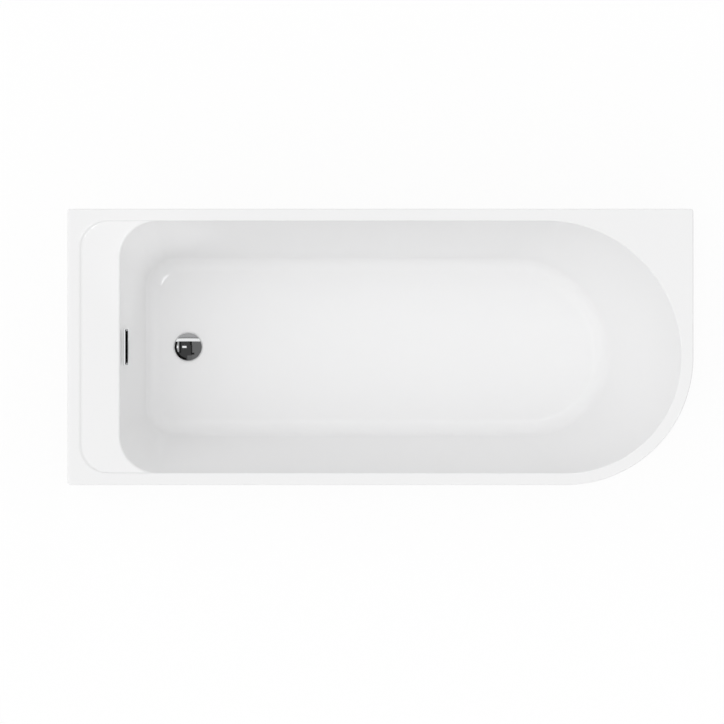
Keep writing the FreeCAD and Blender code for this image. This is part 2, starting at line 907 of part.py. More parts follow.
def crossbar(label, x):
    bar = body(label)
    half = s.crossbar_length / 2
    through = s.tube_width + s.overrun * 2
    slab(bar, FRONT, -half, s.crossbar_length, *tube_outlines(x, bar_axis_z))
    drill(bar, PLAN, bar_bottom - s.overrun, through, [(x, y) for y in foot_ys], s.stud_radius + s.fit_gap)
    drill(bar, PLAN, bar_bottom - s.overrun, through, [(x, y) for y in rail_ys], s.bolt_radius + s.fit_gap)
    drill(bar, SIDE, x + s.tube_width / 2 - s.tube_wall - s.overrun, s.tube_wall + s.overrun * 2,
          [(bracket_bolt_y, bar_axis_z)], s.bolt_radius + s.fit_gap)
    return finish(bar)


def frame():
    for label, y in zip(("frame_rail_front", "frame_rail_back"), rail_ys):
        frame_rail(label, y)
    for label, x in crossbar_xs.items():
        crossbar(label, x)

    cap = body("tube_cap_pattern")
    half = s.tube_width / 2
    insert = half - s.tube_wall - s.fit_gap
    slab(cap, PLAN, ZERO, s.cap_thickness, rectangle(-half, half, -half, half))
    slab(cap, PLAN, -s.cap_insert, s.cap_insert, rectangle(-insert, insert, -insert, insert))
    places = []
    for y in rail_ys:
        z = bar_top + half
        places.append((cap, {"x": rail_left, "y": y, "z": z, "axis": Y_AXIS, "angle": -QUARTER}))
        places.append((cap, {"x": rail_right, "y": y, "z": z, "axis": Y_AXIS, "angle": QUARTER}))
    for x in crossbar_xs.values():
        end = s.crossbar_length / 2
        places.append((cap, {"x": x, "y": -end, "z": bar_axis_z, "axis": X_AXIS, "angle": QUARTER}))
        places.append((cap, {"x": x, "y": end, "z": bar_axis_z, "axis": X_AXIS, "angle": -QUARTER}))
    copies("frame_end_caps", places)

    bolt = headed("long_bolt", s.bolt_radius, s.bolt_length, s.bolt_head_radius, s.bolt_head_height)
    crossings = [(x, y) for x in crossbar_xs.values() for y in rail_ys]
    copies("frame_bolts", [(bolt, {"x": x, "y": y, "z": bar_bottom}) for x, y in crossings])
    screw = headed("board_screw", s.wood_screw_radius, s.board_screw_length,
                   s.wood_screw_head_radius, s.wood_screw_head_height)
    copies("board_screws", [(screw, {"x": x, "y": y, "z": bar_top}) for x, y in board_screw_places()])


# Adjustable feet

def feet():
    pad = body("foot_pad_pattern")
    bore = s.stud_collar_radius + s.fit_gap
    turn(pad, [
        (ZERO, ZERO, None),
        (s.pad_radius, ZERO, None),
        (s.pad_radius, s.pad_rim_height, None),
        (s.pad_neck_radius, s.pad_height, None),
        (bore, s.pad_height, None),
        (bore, s.stud_seat - s.fit_gap, None),
        (ZERO, s.stud_seat - s.fit_gap, None),
    ])

    screw = body("foot_stud_pattern")
    collar_top = s.stud_seat + s.stud_collar_height
    turn(screw, [
        (ZERO, s.stud_seat, None),
        (s.stud_collar_radius, s.stud_seat, None),
        (s.stud_collar_radius, collar_top, None),
        (s.stud_radius, collar_top, None),
        (s.stud_radius, s.stud_top, None),
        (ZERO, s.stud_top, None),
    ])
    slab(screw, PLAN, s.stud_hex_low, s.stud_hex_height, polygon(HEX, s.stud_hex_flats))

    nut = body("nut_pattern")
    slab(nut, PLAN, ZERO, s.nut_height, polygon(HEX, s.nut_flats))
    drill(nut, PLAN, -s.overrun, s.nut_height + s.overrun * 2, [(ZERO, ZERO)], s.stud_radius + s.fit_gap)

    nuts = []
    spots = [(x, y) for x in crossbar_xs.values() for y in foot_ys]
    for number, (x, y) in enumerate(spots, start=1):
        copies(f"foot_pad_{number}", [(pad, {"x": x, "y": y})])
        copies(f"foot_stud_{number}", [(screw, {"x": x, "y": y})])
        nuts.append((nut, {"x": x, "y": y, "z": bar_top}))
        nuts.append((nut, {"x": x, "y": y, "z": bar_bottom - s.nut_height}))
    copies("foot_nuts", nuts)


# Wall brackets

def bracket_line(centre, spacing):
    """The two places of a pair of brackets along a wall."""
    return [centre - spacing / 2, centre + spacing / 2]


back_bracket_xs = bracket_line(ZERO, s.wall_bracket_back_spacing)
end_bracket_ys = bracket_line(s.wall_bracket_end_y, s.wall_bracket_end_spacing)
back_bracket_screws = [(x, half_width - batten_screw_line) for x in back_bracket_xs]
end_bracket_screws = [(batten_screw_line - half_length, y) for y in end_bracket_ys]


def wall_brackets(screw):
    bracket = body("wall_bracket_pattern")
    half = s.wall_bracket_width / 2
    thickness = s.wall_bracket_thickness
    low = batten_low - thickness
    outline = [
        (ZERO, batten_low - s.wall_bracket_drop, None),
        (ZERO, batten_low, None),
        (-s.wall_bracket_reach, batten_low, None),
        (-s.wall_bracket_reach, low, None),
        (-thickness, low, None),
        (-thickness, batten_low - s.wall_bracket_drop, None),
    ]
    slab(bracket, SIDE, -half, s.wall_bracket_width, outline)
    drill(bracket, FRONT, -s.overrun, thickness + s.overrun * 2,
          [(ZERO, batten_low - s.wall_hole_drop)], s.wall_hole_radius)
    drill(bracket, PLAN, low - s.overrun, thickness + s.overrun * 2,
          [(ZERO, -batten_screw_line)], s.wood_screw_radius + s.fit_gap)
    copies("wall_brackets_back", [(bracket, {"x": x, "y": half_width}) for x in back_bracket_xs])
    copies("wall_brackets_end",
           [(bracket, {"x": -half_length, "y": y, "angle": QUARTER}) for y in end_bracket_ys])
    screws = back_bracket_screws + end_bracket_screws
    copies("wall_bracket_screws", [(screw, {"x": x, "y": y, "z": low}) for x, y in screws])


# Waste, all turned about the upright axis of the waste hole

flange_top = recess_floor + s.flange_seal + s.flange_thickness
tail_bore = s.tail_radius - s.tail_wall
hub_top = flange_top - s.hub_drop
sleeve_bore = s.cartridge_radius - s.cartridge_wall
stem_bottom_gap = s.cartridge_length - s.cartridge_end
seal_low = flange_top + s.fit_gap
cap_low = seal_low + s.plug_seal_thickness
body_top = dish_bottom - s.lower_seal_thickness
cup_top = body_top - s.body_flange_thickness
cup_low = cup_top - s.cup_height
neck_low = cup_low - s.neck_length
port_z = cup_top - s.port_drop


def at_waste(piece):
    place(piece, waste_x)
    return finish(piece)


def waste_flange():
    flange = body("waste_flange")
    under = recess_floor + s.flange_seal
    turn(flange, [
        (tail_bore, under - s.tail_length, None),
        (s.tail_radius, under - s.tail_length, None),
        (s.tail_radius, under, None),
        (s.flange_radius, under, None),
        (s.flange_radius, flange_top, None),
        (tail_bore, flange_top, None),
    ])
    half = s.spider_width / 2
    reach = tail_bore + s.tail_wall / 2
    for outline in (rectangle(-reach, reach, -half, half), rectangle(-half, half, -reach, reach)):
        slab(flange, PLAN, hub_top - s.hub_height, s.hub_height, outline)
    stud(flange, PLAN, hub_top - s.hub_height, s.hub_height, [(ZERO, ZERO)], s.hub_radius)
    drill(flange, PLAN, hub_top - s.hub_height - s.overrun, s.hub_height + s.overrun * 2,
          [(ZERO, ZERO)], s.cartridge_radius + s.fit_gap)
    return at_waste(flange)


def waste_seals():
    at_waste(ring("waste_seal_upper", s.waste_hole_radius, s.flange_seal_radius,
                  recess_floor, recess_floor + s.flange_seal))
    at_waste(ring("waste_seal_lower", s.waste_hole_radius, s.lower_seal_radius, body_top, dish_bottom))
    at_waste(ring("plug_seal", s.plug_seal_inner, s.plug_seal_outer, seal_low, cap_low))


def plug():
    cap = body("plug_cap")
    edge = cap_low + s.cap_edge
    crown_radius = (s.cap_radius * s.cap_radius + s.cap_crown * s.cap_crown) / (s.cap_crown * 2)
    turn(cap, [
        (ZERO, cap_low, None),
        (s.cap_radius, cap_low, None),
        (s.cap_radius, edge, crown_radius),
        (ZERO, edge + s.cap_crown, None),
    ])
    fillet(cap, edges_at(cap.Shape, "Z", edge.value), s.cap_edge_radius)
    at_waste(cap)
    at_waste(ring("plug_stem", ZERO, s.stem_radius, cap_low - s.stem_length, cap_low))


def click_cartridge():
    sleeve = body("click_cartridge")
    low = hub_top - s.cartridge_length
    turn(sleeve, [
        (ZERO, low, None),
        (s.cartridge_radius, low, None),
        (s.cartridge_radius, hub_top, None),
        (sleeve_bore, hub_top, None),
        (sleeve_bore, low + s.cartridge_end, None),
        (ZERO, low + s.cartridge_end, None),
    ])
    return at_waste(sleeve)


def arc_through(start, apex, end):
    """Arc that leaves along start to apex and arrives along apex to end, both equally far."""
    middle = (start + end) / 2
    half_chord = (end - start).Length / 2
    height = (apex - middle).Length
    radius = half_chord * (apex - start).Length / height
    rise = radius - math.sqrt(radius ** 2 - half_chord ** 2)
    return Part.Arc(start, middle + (apex - middle).normalize() * rise, end).toShape()


def biarc(start, start_way, end, end_way):
    """Two arcs that join two points smoothly, each leaving or arriving along its given way."""
    span, ways = end - start, start_way + end_way
    spread = 2 * (1 - start_way.dot(end_way))
    along = span.dot(ways)
    reach = (math.sqrt(along ** 2 + spread * span.dot(span)) - along) / spread
    first, second = start + start_way * reach, end - end_way * reach
    joint = (first + second) / 2
    return [arc_through(start, first, joint), arc_through(joint, second, end)]


def coil_point(turns, low, rise):
    """Place and way on the spring's helix after a number of turns."""
    angle, radius = 2 * math.pi * turns, s.spring_radius.value
    at = Vector(waste_x.value + radius * math.cos(angle), radius * math.sin(angle), low + rise * turns)
    way = Vector(-radius * math.sin(angle), radius * math.cos(angle), rise / (2 * math.pi)).normalize()
    return at, way


def click_spring():
    wire = s.spring_wire.value / 2
    clear = s.fit_gap.value + wire
    low = hub_top.value - stem_bottom_gap.value + clear
    top = cap_low.value - s.stem_length.value - clear
    rise = (top - low) / SPRING_TURNS
    edges = []
    for quarter in range(4 * SPRING_TURNS):
        edges += biarc(*coil_point(quarter / 4, low, rise), *coil_point((quarter + 1) / 4, low, rise))
    start, way = coil_point(0, low, rise)
    profile = Part.Wire(Part.Circle(start, way, wire).toShape())
    print("spring: least gap between turns", round(rise - 2 * wire, 3))
    return feature("click_spring", Part.Wire(edges).makePipeShell([profile], True, False))


def waste_body():
    made = body("waste_body")
    thread_low = body_top - s.body_thread_length
    thread = s.tail_radius + s.fit_gap
    turn(made, [
        (thread, thread_low, None),
        (thread, body_top, None),
        (s.body_flange_radius, body_top, None),
        (s.body_flange_radius, cup_top, None),
        (s.cup_radius, cup_top, None),
        (s.cup_radius, cup_low, None),
        (s.neck_radius, cup_low, None),
        (s.neck_radius, neck_low, None),
        (s.neck_radius - s.neck_wall, neck_low, None),
        (s.neck_radius - s.neck_wall, cup_low + s.cup_wall, None),
        (s.cup_radius - s.cup_wall, cup_low + s.cup_wall, None),
        (s.cup_radius - s.cup_wall, thread_low, None),
    ])
    inside = s.cup_radius - s.cup_wall / 2
    stud(made, SIDE, -s.port_reach, s.port_reach - inside, [(ZERO, port_z)], s.spigot_radius)
    bore = s.spigot_radius - s.spigot_wall
    drill(made, SIDE, -s.port_reach - s.overrun, s.port_reach - s.cup_radius + s.cup_wall + s.overrun * 2,
          [(ZERO, port_z)], bore)
    return at_waste(made)


# Trap, in the upright plane through the waste that faces the back wall

washer_low = neck_low - s.trap_washer
collar_low = washer_low - s.trap_collar
inlet_low = neck_low - s.trap_inlet_drop
outlet_z = inlet_low + s.trap_rise + s.trap_outlet_bend_radius
rise_y = s.trap_bend_radius * 2
outlet_bend_y = rise_y + s.trap_outlet_bend_radius
socket_start = outlet_bend_y + s.trap_outlet_run
socket_stop = socket_start + s.socket_step
socket_end = socket_stop + s.socket_bore_length
grip_flats = s.trap_nut_radius * 2


def trap_body():
    trap = body("trap_body")
    bend, outlet_bend = s.trap_bend_radius, s.trap_outlet_bend_radius
    path = sketch(trap, SIDE)
    draw_outline(path, [
        (ZERO, washer_low, None),
        (ZERO, inlet_low, bend),
        (bend, inlet_low - bend, bend),
        (rise_y, inlet_low, None),
        (rise_y, inlet_low + s.trap_rise, -outlet_bend),
        (outlet_bend_y, outlet_z, None),
        (socket_stop, outlet_z, None),
    ], closed=False)
    sweep(trap, path, s.trap_pipe_radius, washer_low)
    stud(trap, PLAN, collar_low, s.trap_collar, [(ZERO, ZERO)], s.neck_radius)
    outlet = [(ZERO, outlet_z)]
    stud(trap, FRONT, -socket_start, socket_end - socket_start, outlet, s.socket_radius, backwards=True)
    sweep(trap, path, s.trap_pipe_radius - s.trap_pipe_wall, washer_low, cut=True)
    bore_length = s.socket_bore_length + s.overrun
    drill(trap, FRONT, -socket_stop, bore_length, outlet, s.socket_bore_radius, backwards=False)
    return at_waste(trap)


def trap_fittings():
    pipe_hole = s.trap_pipe_radius + s.fit_gap
    at_waste(ring("trap_washer", pipe_hole, s.neck_radius, washer_low, neck_low))
    nut = body("trap_nut")
    slab(nut, PLAN, collar_low - s.trap_nut_lip, s.trap_nut_height + s.trap_nut_lip,
         polygon(GRIP_SIDES, grip_flats))
    drill(nut, PLAN, collar_low, s.trap_nut_height + s.overrun, [(ZERO, ZERO)], s.neck_radius + s.fit_gap)
    drill(nut, PLAN, collar_low - s.trap_nut_lip - s.overrun, s.trap_nut_lip + s.overrun * 2,
          [(ZERO, ZERO)], pipe_hole)
    at_waste(nut)

    lip = s.outlet_nut_lip
    seal_end = socket_end + s.outlet_seal
    nut_end = seal_end + lip
    nut_start = nut_end - s.outlet_nut_length
    seal = body("trap_outlet_seal")
    hole = s.socket_bore_radius + s.fit_gap
    stud(seal, FRONT, -socket_end, s.outlet_seal, [(ZERO, outlet_z)], s.socket_radius, backwards=True)
    drill(seal, FRONT, s.overrun - socket_end, s.outlet_seal + s.overrun * 2, [(ZERO, outlet_z)], hole,
          backwards=False)
    at_waste(seal)

    outlet_nut = body("trap_outlet_nut")
    grip = sketch(outlet_nut, FRONT, -nut_start)
    flats = s.outlet_nut_radius * 2
    draw_outline(grip, [(x, outlet_z + y, bend) for x, y, bend in polygon(GRIP_SIDES, flats)])
    extrude(outlet_nut, grip, s.outlet_nut_length, backwards=True)
    drill(outlet_nut, FRONT, s.overrun - nut_start, seal_end - nut_start + s.overrun, [(ZERO, outlet_z)],
          s.socket_radius + s.fit_gap, backwards=False)
    drill(outlet_nut, FRONT, s.overrun - seal_end, lip + s.overrun * 2, [(ZERO, outlet_z)], hole,
          backwards=False)
    at_waste(outlet_nut)


# Overflow

def overflow_cover():
    cover = body("overflow_cover")
    half_y, half_z, wall = s.cover_length / 2, s.cover_height / 2, s.cover_wall
    inside = s.cover_depth - wall
    slab(cover, SIDE, ZERO, s.cover_depth, rounded_rectangle(half_y, half_z, s.cover_corner_radius))
    hollow = rounded_rectangle(half_y - wall, half_z - wall, s.cover_corner_radius - wall)
    slab(cover, SIDE, ZERO, inside, hollow, cut=True, backwards=True)
    stud(cover, SIDE, ZERO, inside, overflow_screws_at, s.cover_boss_radius)
    drill(cover, SIDE, ZERO, inside - wall, overflow_screws_at, overflow_screw_hole)
    half_slot = s.cover_slot_length / 2
    slot = rectangle(s.cover_slot_back, inside, -half_slot, half_slot)
    slab(cover, PLAN, half_z - wall - s.overrun, wall + s.overrun * 2, slot, cut=True, backwards=True)
    fillet(cover, edges_at(cover.Shape, "X", s.cover_depth.value), s.cover_edge_radius)
    return finish(place_on_wall(cover))


def overflow_plate(owner, start, thickness, hole):
    """The gasket's and the elbow's common outline behind the wall, with a hole and two screw holes."""
    outline = rounded_rectangle(
        s.overflow_flange_length / 2, s.overflow_flange_height / 2, s.overflow_flange_corner)
    slab(owner, SIDE, -start, thickness, outline, backwards=True)
    through = thickness + s.overrun * 2
    drill(owner, SIDE, s.overrun - start, through, overflow_screws_at, overflow_screw_hole, backwards=False)
    if hole:
        slab(owner, SIDE, s.overrun - start, through, hole, cut=True, backwards=False)


flange_front = wall_back + s.overflow_gasket
flange_back = flange_front + s.overflow_flange


def overflow_behind_wall():
    gasket = body("overflow_gasket")
    overflow_plate(gasket, wall_back, s.overflow_gasket, neck_outline(ZERO))
    finish(place_on_wall(gasket))

    elbow = body("overflow_elbow")
    middle = [(ZERO, ZERO)]
    spigot_at = [(-s.spigot_back, ZERO)]
    overflow_plate(elbow, flange_front, s.overflow_flange, None)
    stud(elbow, SIDE, -s.chamber_reach, s.chamber_reach - flange_back, middle, s.chamber_radius)
    slab(elbow, SIDE, -flange_front, flange_front, neck_outline(s.fit_gap))
    stud(elbow, PLAN, -s.spigot_length, s.spigot_length, spigot_at, s.spigot_radius)
    chamber_bore = s.chamber_radius - s.chamber_wall
    chamber_end = s.chamber_reach - s.chamber_wall
    drill(elbow, SIDE, -chamber_end, chamber_end - flange_back, middle, chamber_bore)
    slab(elbow, SIDE, -flange_back - s.overrun, flange_back + s.overrun * 2,
         neck_outline(s.fit_gap + s.overflow_neck_wall), cut=True, backwards=True)
    drill(elbow, PLAN, -s.spigot_length - s.overrun, s.spigot_length + s.overrun, spigot_at,
          s.spigot_radius - s.spigot_wall)
    finish(place_on_wall(elbow))

    screw = headed("overflow_screw_pattern", s.wood_screw_radius, flange_back + s.cover_depth / 2,
                   s.wood_screw_head_radius, s.wood_screw_head_height)
    lean = QUARTER - wall_lean
    head_x = overflow_x - flange_back * cosine(wall_lean)
    head_z = overflow_z - flange_back * sine(wall_lean)
    seat = {"x": head_x, "z": head_z, "axis": Y_AXIS, "angle": lean}
    copies("overflow_screws", [(screw, {"y": y, **seat}) for y, _ in overflow_screws_at])


class HosePath:
    """The hose's centre line: down behind the tap-end wall, round a bend, and level to the waste's port."""

    def __init__(self):
        lean = math.radians(wall_lean.value)
        self.down = Vector(math.sin(lean), 0, -math.cos(lean))
        into = Vector(math.cos(lean), 0, math.sin(lean))
        wall = Vector(overflow_x.value, 0, overflow_z.value)
        self.start = wall - into * s.spigot_back.value + self.down * s.hose_start.value
        self.end = Vector(waste_x.value - s.hose_end.value, 0, port_z.value)
        corner = self.start + self.down * ((self.start.z - port_z.value) / math.cos(lean))
        self.sweep = math.pi / 2 - lean
        self.radius = s.hose_bend_radius.value
        cutback = self.radius * math.tan(self.sweep / 2)
        self.bend_start = corner - self.down * cutback
        self.bend_end = corner + X_AXIS * cutback
        self.centre = self.bend_end + Z_AXIS * self.radius
        self.first = (self.bend_start - self.start).Length
        self.length = self.first + self.radius * self.sweep + (self.end - self.bend_end).Length

    def at(self, distance):
        """Place and way at a distance along the hose."""
        if distance <= self.first:
            return self.start + self.down * distance, self.down
        turned = (distance - self.first) / self.radius
        if turned <= self.sweep:
            angle = self.sweep - turned
            way = Vector(math.cos(angle), 0, -math.sin(angle))
            return self.centre - Vector(math.sin(angle), 0, math.cos(angle)) * self.radius, way
        return self.end - X_AXIS * (self.length - distance), X_AXIS

    def circle(self, distance, radius):
        """A circle square to the hose, always started from the same side."""
        at, way = self.at(distance)
        turned = Rotation(Y_AXIS, way.cross(Y_AXIS), way, "ZXY")
        wire = Part.Wire(Part.Circle(Vector(), Z_AXIS, radius).toShape())
        wire.Placement = Placement(at, turned)
        return wire


def overflow_hose(path):
    cuff, length = s.hose_cuff_length.value, path.length
    ribbed = length - 2 * cuff
    ribs = round(ribbed / s.hose_rib_pitch.value)
    pitch = ribbed / ribs
    root, crest = s.hose_root_radius.value, s.hose_crest_radius.value
    outside = [(0, s.hose_cuff_radius.value), (cuff, s.hose_cuff_radius.value)]
    for rib in range(ribs):
        for share, radius in zip(RIB_STATION_SHARES, (root, root, crest, crest)):
            outside.append((cuff + pitch * (rib + share), radius))
    outside += [(length - cuff, s.hose_cuff_radius.value), (length, s.hose_cuff_radius.value)]
    inside = [0, cuff] + [cuff + pitch * (rib + 1) for rib in range(ribs)] + [length]
    outer = Part.makeLoft([path.circle(*station) for station in outside], True, True)
    bore = Part.makeLoft([path.circle(at, s.hose_bore_radius.value) for at in inside], True, True)
    print("hose:", ribs, "ribs over", round(length), "mm")
    return feature("overflow_hose", outer.cut(bore))


def hose_clips(path):
    """Two worm clips, each a band with its screw housing, square to the hose at its cuffs."""
    clips = []
    half = s.clip_width.value / 2
    inner = s.hose_cuff_radius.value + s.fit_gap.value
    outer = inner + s.clip_thickness.value
    housing = s.clip_housing_width.value
    for middle in (s.hose_cuff_length.value / 2, path.length - s.hose_cuff_length.value / 2):
        at, way = path.at(middle)
        band = Part.makeCylinder(outer, 2 * half)
        reach = outer + s.clip_housing_height.value
        block = Part.makeBox(housing, reach, 2 * half, Vector(-housing / 2, 0, 0))
        clip = band.fuse(block).cut(Part.makeCylinder(inner, 2 * half)).removeSplitter()
        clip.Placement = Placement(at - way * half, Rotation(way.cross(Y_AXIS), Y_AXIS, way, "ZXY"))
        clips.append(clip)
    return feature("hose_clips", Part.makeCompound(clips))


acrylic_shell()
glass_fibre_backing()
base_board()
tap_ledge_board()
battens()
front_panel()
short_screw = panel_fixings()
frame()
feet()
wall_brackets(short_screw)
waste_flange()
waste_seals()
plug()
click_cartridge()
click_spring()
waste_body()
trap_body()
trap_fittings()
overflow_cover()
overflow_behind_wall()
hose_path = HosePath()
overflow_hose(hose_path)
hose_clips(hose_path)
doc.recompute()

for made in doc.Objects:
    if "Invalid" in made.State or "Error" in made.State:
        raise RuntimeError(f"{made.Name} failed: {made.State}")
os.makedirs("parts", exist_ok=True)
for label, piece in PIECES.items():
    shape = piece.Shape
    if shape.isNull() or not shape.isValid() or not shape.Solids:
        raise RuntimeError(f"{label} has no valid solid")
    shape.exportStep(f"parts/{label}.step")
    print(f"{label}: {len(shape.Solids)} solids, {shape.Volume:.0f} mm3")
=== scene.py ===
import json
import logging
import math
from dataclasses import dataclass
from enum import Enum
from typing import Optional, Sequence, Union

import bmesh
import bpy
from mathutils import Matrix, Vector


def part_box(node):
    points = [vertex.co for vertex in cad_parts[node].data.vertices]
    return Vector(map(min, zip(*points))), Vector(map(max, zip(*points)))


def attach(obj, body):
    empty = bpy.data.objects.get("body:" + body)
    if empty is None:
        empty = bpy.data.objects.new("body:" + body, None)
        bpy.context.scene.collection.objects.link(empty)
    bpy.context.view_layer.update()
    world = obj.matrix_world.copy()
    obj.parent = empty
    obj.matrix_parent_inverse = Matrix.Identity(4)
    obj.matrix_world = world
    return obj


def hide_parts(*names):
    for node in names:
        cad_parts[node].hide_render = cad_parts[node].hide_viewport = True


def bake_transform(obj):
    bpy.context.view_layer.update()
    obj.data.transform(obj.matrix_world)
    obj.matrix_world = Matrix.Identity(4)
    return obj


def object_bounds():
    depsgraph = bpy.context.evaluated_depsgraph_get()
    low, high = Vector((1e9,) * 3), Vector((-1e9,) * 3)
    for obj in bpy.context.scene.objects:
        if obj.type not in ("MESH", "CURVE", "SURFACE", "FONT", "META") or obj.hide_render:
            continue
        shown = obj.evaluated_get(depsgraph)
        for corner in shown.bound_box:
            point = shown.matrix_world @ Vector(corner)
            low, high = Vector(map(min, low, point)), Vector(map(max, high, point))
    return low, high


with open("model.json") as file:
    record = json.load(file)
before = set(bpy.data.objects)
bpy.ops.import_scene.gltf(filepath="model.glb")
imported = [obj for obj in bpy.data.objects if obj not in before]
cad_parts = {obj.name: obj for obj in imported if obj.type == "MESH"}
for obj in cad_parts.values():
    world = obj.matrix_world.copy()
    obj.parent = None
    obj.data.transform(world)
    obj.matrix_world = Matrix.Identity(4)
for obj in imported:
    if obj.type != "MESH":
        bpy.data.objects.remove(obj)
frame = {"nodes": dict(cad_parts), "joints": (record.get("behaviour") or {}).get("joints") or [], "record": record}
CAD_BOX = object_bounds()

# A white corner bath with one free round corner: its tub, waste, overflow, feet and finishes, in metres.

LOG = logging.getLogger("corner_bath")
SMOOTH_ANGLE = math.radians(32)
WELD_GAP = 1e-6
TINY = 1e-7
PATTERN_LOW, PATTERN_HIGH = 0.3, 0.7
ALONG_GRAIN = 1 / 30
CORNER_SHARE = 0.45
OVERFLOW_SCREW_HOLE = 0.0023
OVERFLOW_SCREW_SPACING = 0.072
CEILING_REACH = 0.6
WHITE = (1.0, 1.0, 1.0, 1.0)

Point = tuple[float, float]
Span = tuple[float, float]
Triple = tuple[float, float, float]
Ring = list[bmesh.types.BMVert]
Socket = bpy.types.NodeSocket


class Slot(Enum):
    """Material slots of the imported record."""

    ACRYLIC = "white_acrylic"
    PANEL = "panel_acrylic"
    GLASS_FIBRE = "glass_fibre"
    PARTICLE_BOARD = "particle_board"
    SOFTWOOD = "softwood"
    GALVANISED = "galvanised_steel"
    ZINC = "zinc_fasteners"
    SPRING = "spring_steel"
    BLACK_PLASTIC = "black_plastic"
    RUBBER = "black_rubber"
    CHROME = "chrome"
    BRASS = "brass"
    WHITE_PLASTIC = "white_plastic"
    HOSE = "grey_hose"


class Grain(Enum):
    """The way that a wooden piece's grain runs, as the scale of its pattern along each axis."""

    ALONG_X = (ALONG_GRAIN, 1.0, ALONG_GRAIN)
    ALONG_Y = (1.0, ALONG_GRAIN, ALONG_GRAIN)


Materials = dict[Slot, bpy.types.Material]


class NodeSheet:
    """The node tree of one finish, with short ways to add its nodes and join them."""

    def __init__(self, name: str) -> None:
        """Starts a finish.

        Args:
            name: the material's name.
        """
        self.material = bpy.data.materials.new(name)
        self.material.use_nodes = True
        self.tree = self.material.node_tree
        self.shader = self.tree.nodes["Principled BSDF"]

    def add(self, kind: str, inputs: Optional[dict] = None, **settings: object) -> bpy.types.Node:
        """Adds a node.

        Args:
            kind: the node's type.
            inputs: values or sockets, by the name of the input that takes them.
            settings: the node's own properties.

        Returns:
            The new node.
        """
        node = self.tree.nodes.new(kind)
        for name, value in settings.items():
            setattr(node, name, value)
        for name, value in (inputs or {}).items():
            if isinstance(value, Socket):
                self.tree.links.new(value, node.inputs[name])
            else:
                node.inputs[name].default_value = value
        return node

    def place(self, scale: Triple = (1.0, 1.0, 1.0), turn: float = 0.0) -> Socket:
        """Finds the place on the piece, in metres.

        Args:
            scale: stretch of the pattern along each axis.
            turn: turn of the pattern about Z, in radians.

        Returns:
            The place as a vector.
        """
        where = self.add("ShaderNodeTexCoord").outputs["Object"]
        inputs = {"Vector": where, "Scale": scale, "Rotation": (0, 0, turn)}
        return self.add("ShaderNodeMapping", inputs).outputs[0]

    def noise(self, scale: float, detail: float = 3.0, where: Optional[Socket] = None) -> Socket:
        """Noise about a half, by its waves to the metre, its octaves of finer waves and its place."""
        inputs = {"Vector": where or self.place(), "Scale": scale, "Detail": detail}
        return self.add("ShaderNodeTexNoise", inputs).outputs["Fac"]

    def cells(self, scale: float, where: Optional[Socket] = None) -> bpy.types.Node:
        """A node of cells, each with its own colour, by their number to the metre and their place."""
        return self.add("ShaderNodeTexVoronoi", {"Vector": where or self.place(), "Scale": scale})

    def grey(self, cells: bpy.types.Node) -> Socket:
        """The tone of each cell's colour."""
        return self.add("ShaderNodeRGBToBW", {"Color": cells.outputs["Color"]}).outputs[0]

    def spread(self, value: Socket, low: float, high: float) -> Socket:
        """A value about a half, spread from a low value to a high one."""
        ends = {"From Min": PATTERN_LOW, "From Max": PATTERN_HIGH, "To Min": low, "To Max": high}
        return self.add("ShaderNodeMapRange", {"Value": value, **ends}).outputs["Result"]

    def blend(self, value: Socket, low: Triple, high: Triple) -> Socket:
        """Turns a value into a colour.

        Args:
            value: a value about a half.
            low: colour of its lowest part.
            high: colour of its highest part.

        Returns:
            The colour between them.
        """
        ramp = self.add("ShaderNodeValToRGB", {"Fac": value})
        for stop, place, colour in zip(ramp.color_ramp.elements, (PATTERN_LOW, PATTERN_HIGH), (low, high)):
            stop.position = place
            stop.color = (*colour, 1.0)
        return ramp.outputs["Color"]

    def both(self, first: Socket, second: Socket, way: str) -> Socket:
        """Joins two values.

        Args:
            first: a value.
            second: another value.
            way: the sum that joins them, such as ADD or MAXIMUM.

        Returns:
            The joined value.
        """
        node = self.add("ShaderNodeMath", operation=way)
        self.tree.links.new(first, node.inputs[0])
        self.tree.links.new(second, node.inputs[1])
        return node.outputs[0]

    def feed(self, name: str, value: Socket) -> None:
        """Joins a socket to one of the shader's inputs."""
        self.tree.links.new(value, self.shader.inputs[name])

    def emboss(self, height: Socket, depth: float, strength: float = 1.0) -> None:
        """Raises the surface by a pattern of some depth in metres, of which a share shows."""
        bump = self.add("ShaderNodeBump", {"Height": height, "Distance": depth, "Strength": strength})
        self.feed("Normal", bump.outputs["Normal"])


@dataclass(frozen=True)
class Finish:
    """One finish: what is alike all over it, and a pattern of its own."""

    slot: Slot
    colour: Triple
    rough: Span
    metal: float = 0.0
    coat: float = 0.0
    coat_rough: float = 0.03
    ior: float = 1.5
    shine: float = 0.5
    name: str = ""

    def material(self) -> bpy.types.Material:
        """Makes the finish.

        Returns:
            The finish as a material.
        """
        sheet = NodeSheet(self.name or self.slot.value)
        plain = {"Metallic": self.metal, "Coat Weight": self.coat, "Coat Roughness": self.coat_rough,
                 "IOR": self.ior, "Specular IOR Level": self.shine}
        for socket, value in plain.items():
            sheet.shader.inputs[socket].default_value = value
        self.dress(sheet)
        return sheet.material

    def tone(self, share: float) -> Triple:
        """The finish's colour, made lighter or darker by a share."""
        return tuple(min(1.0, part * share) for part in self.colour)

    def dress(self, sheet: NodeSheet) -> None:
        """Adds the pattern to the finish's nodes."""
        raise NotImplementedError


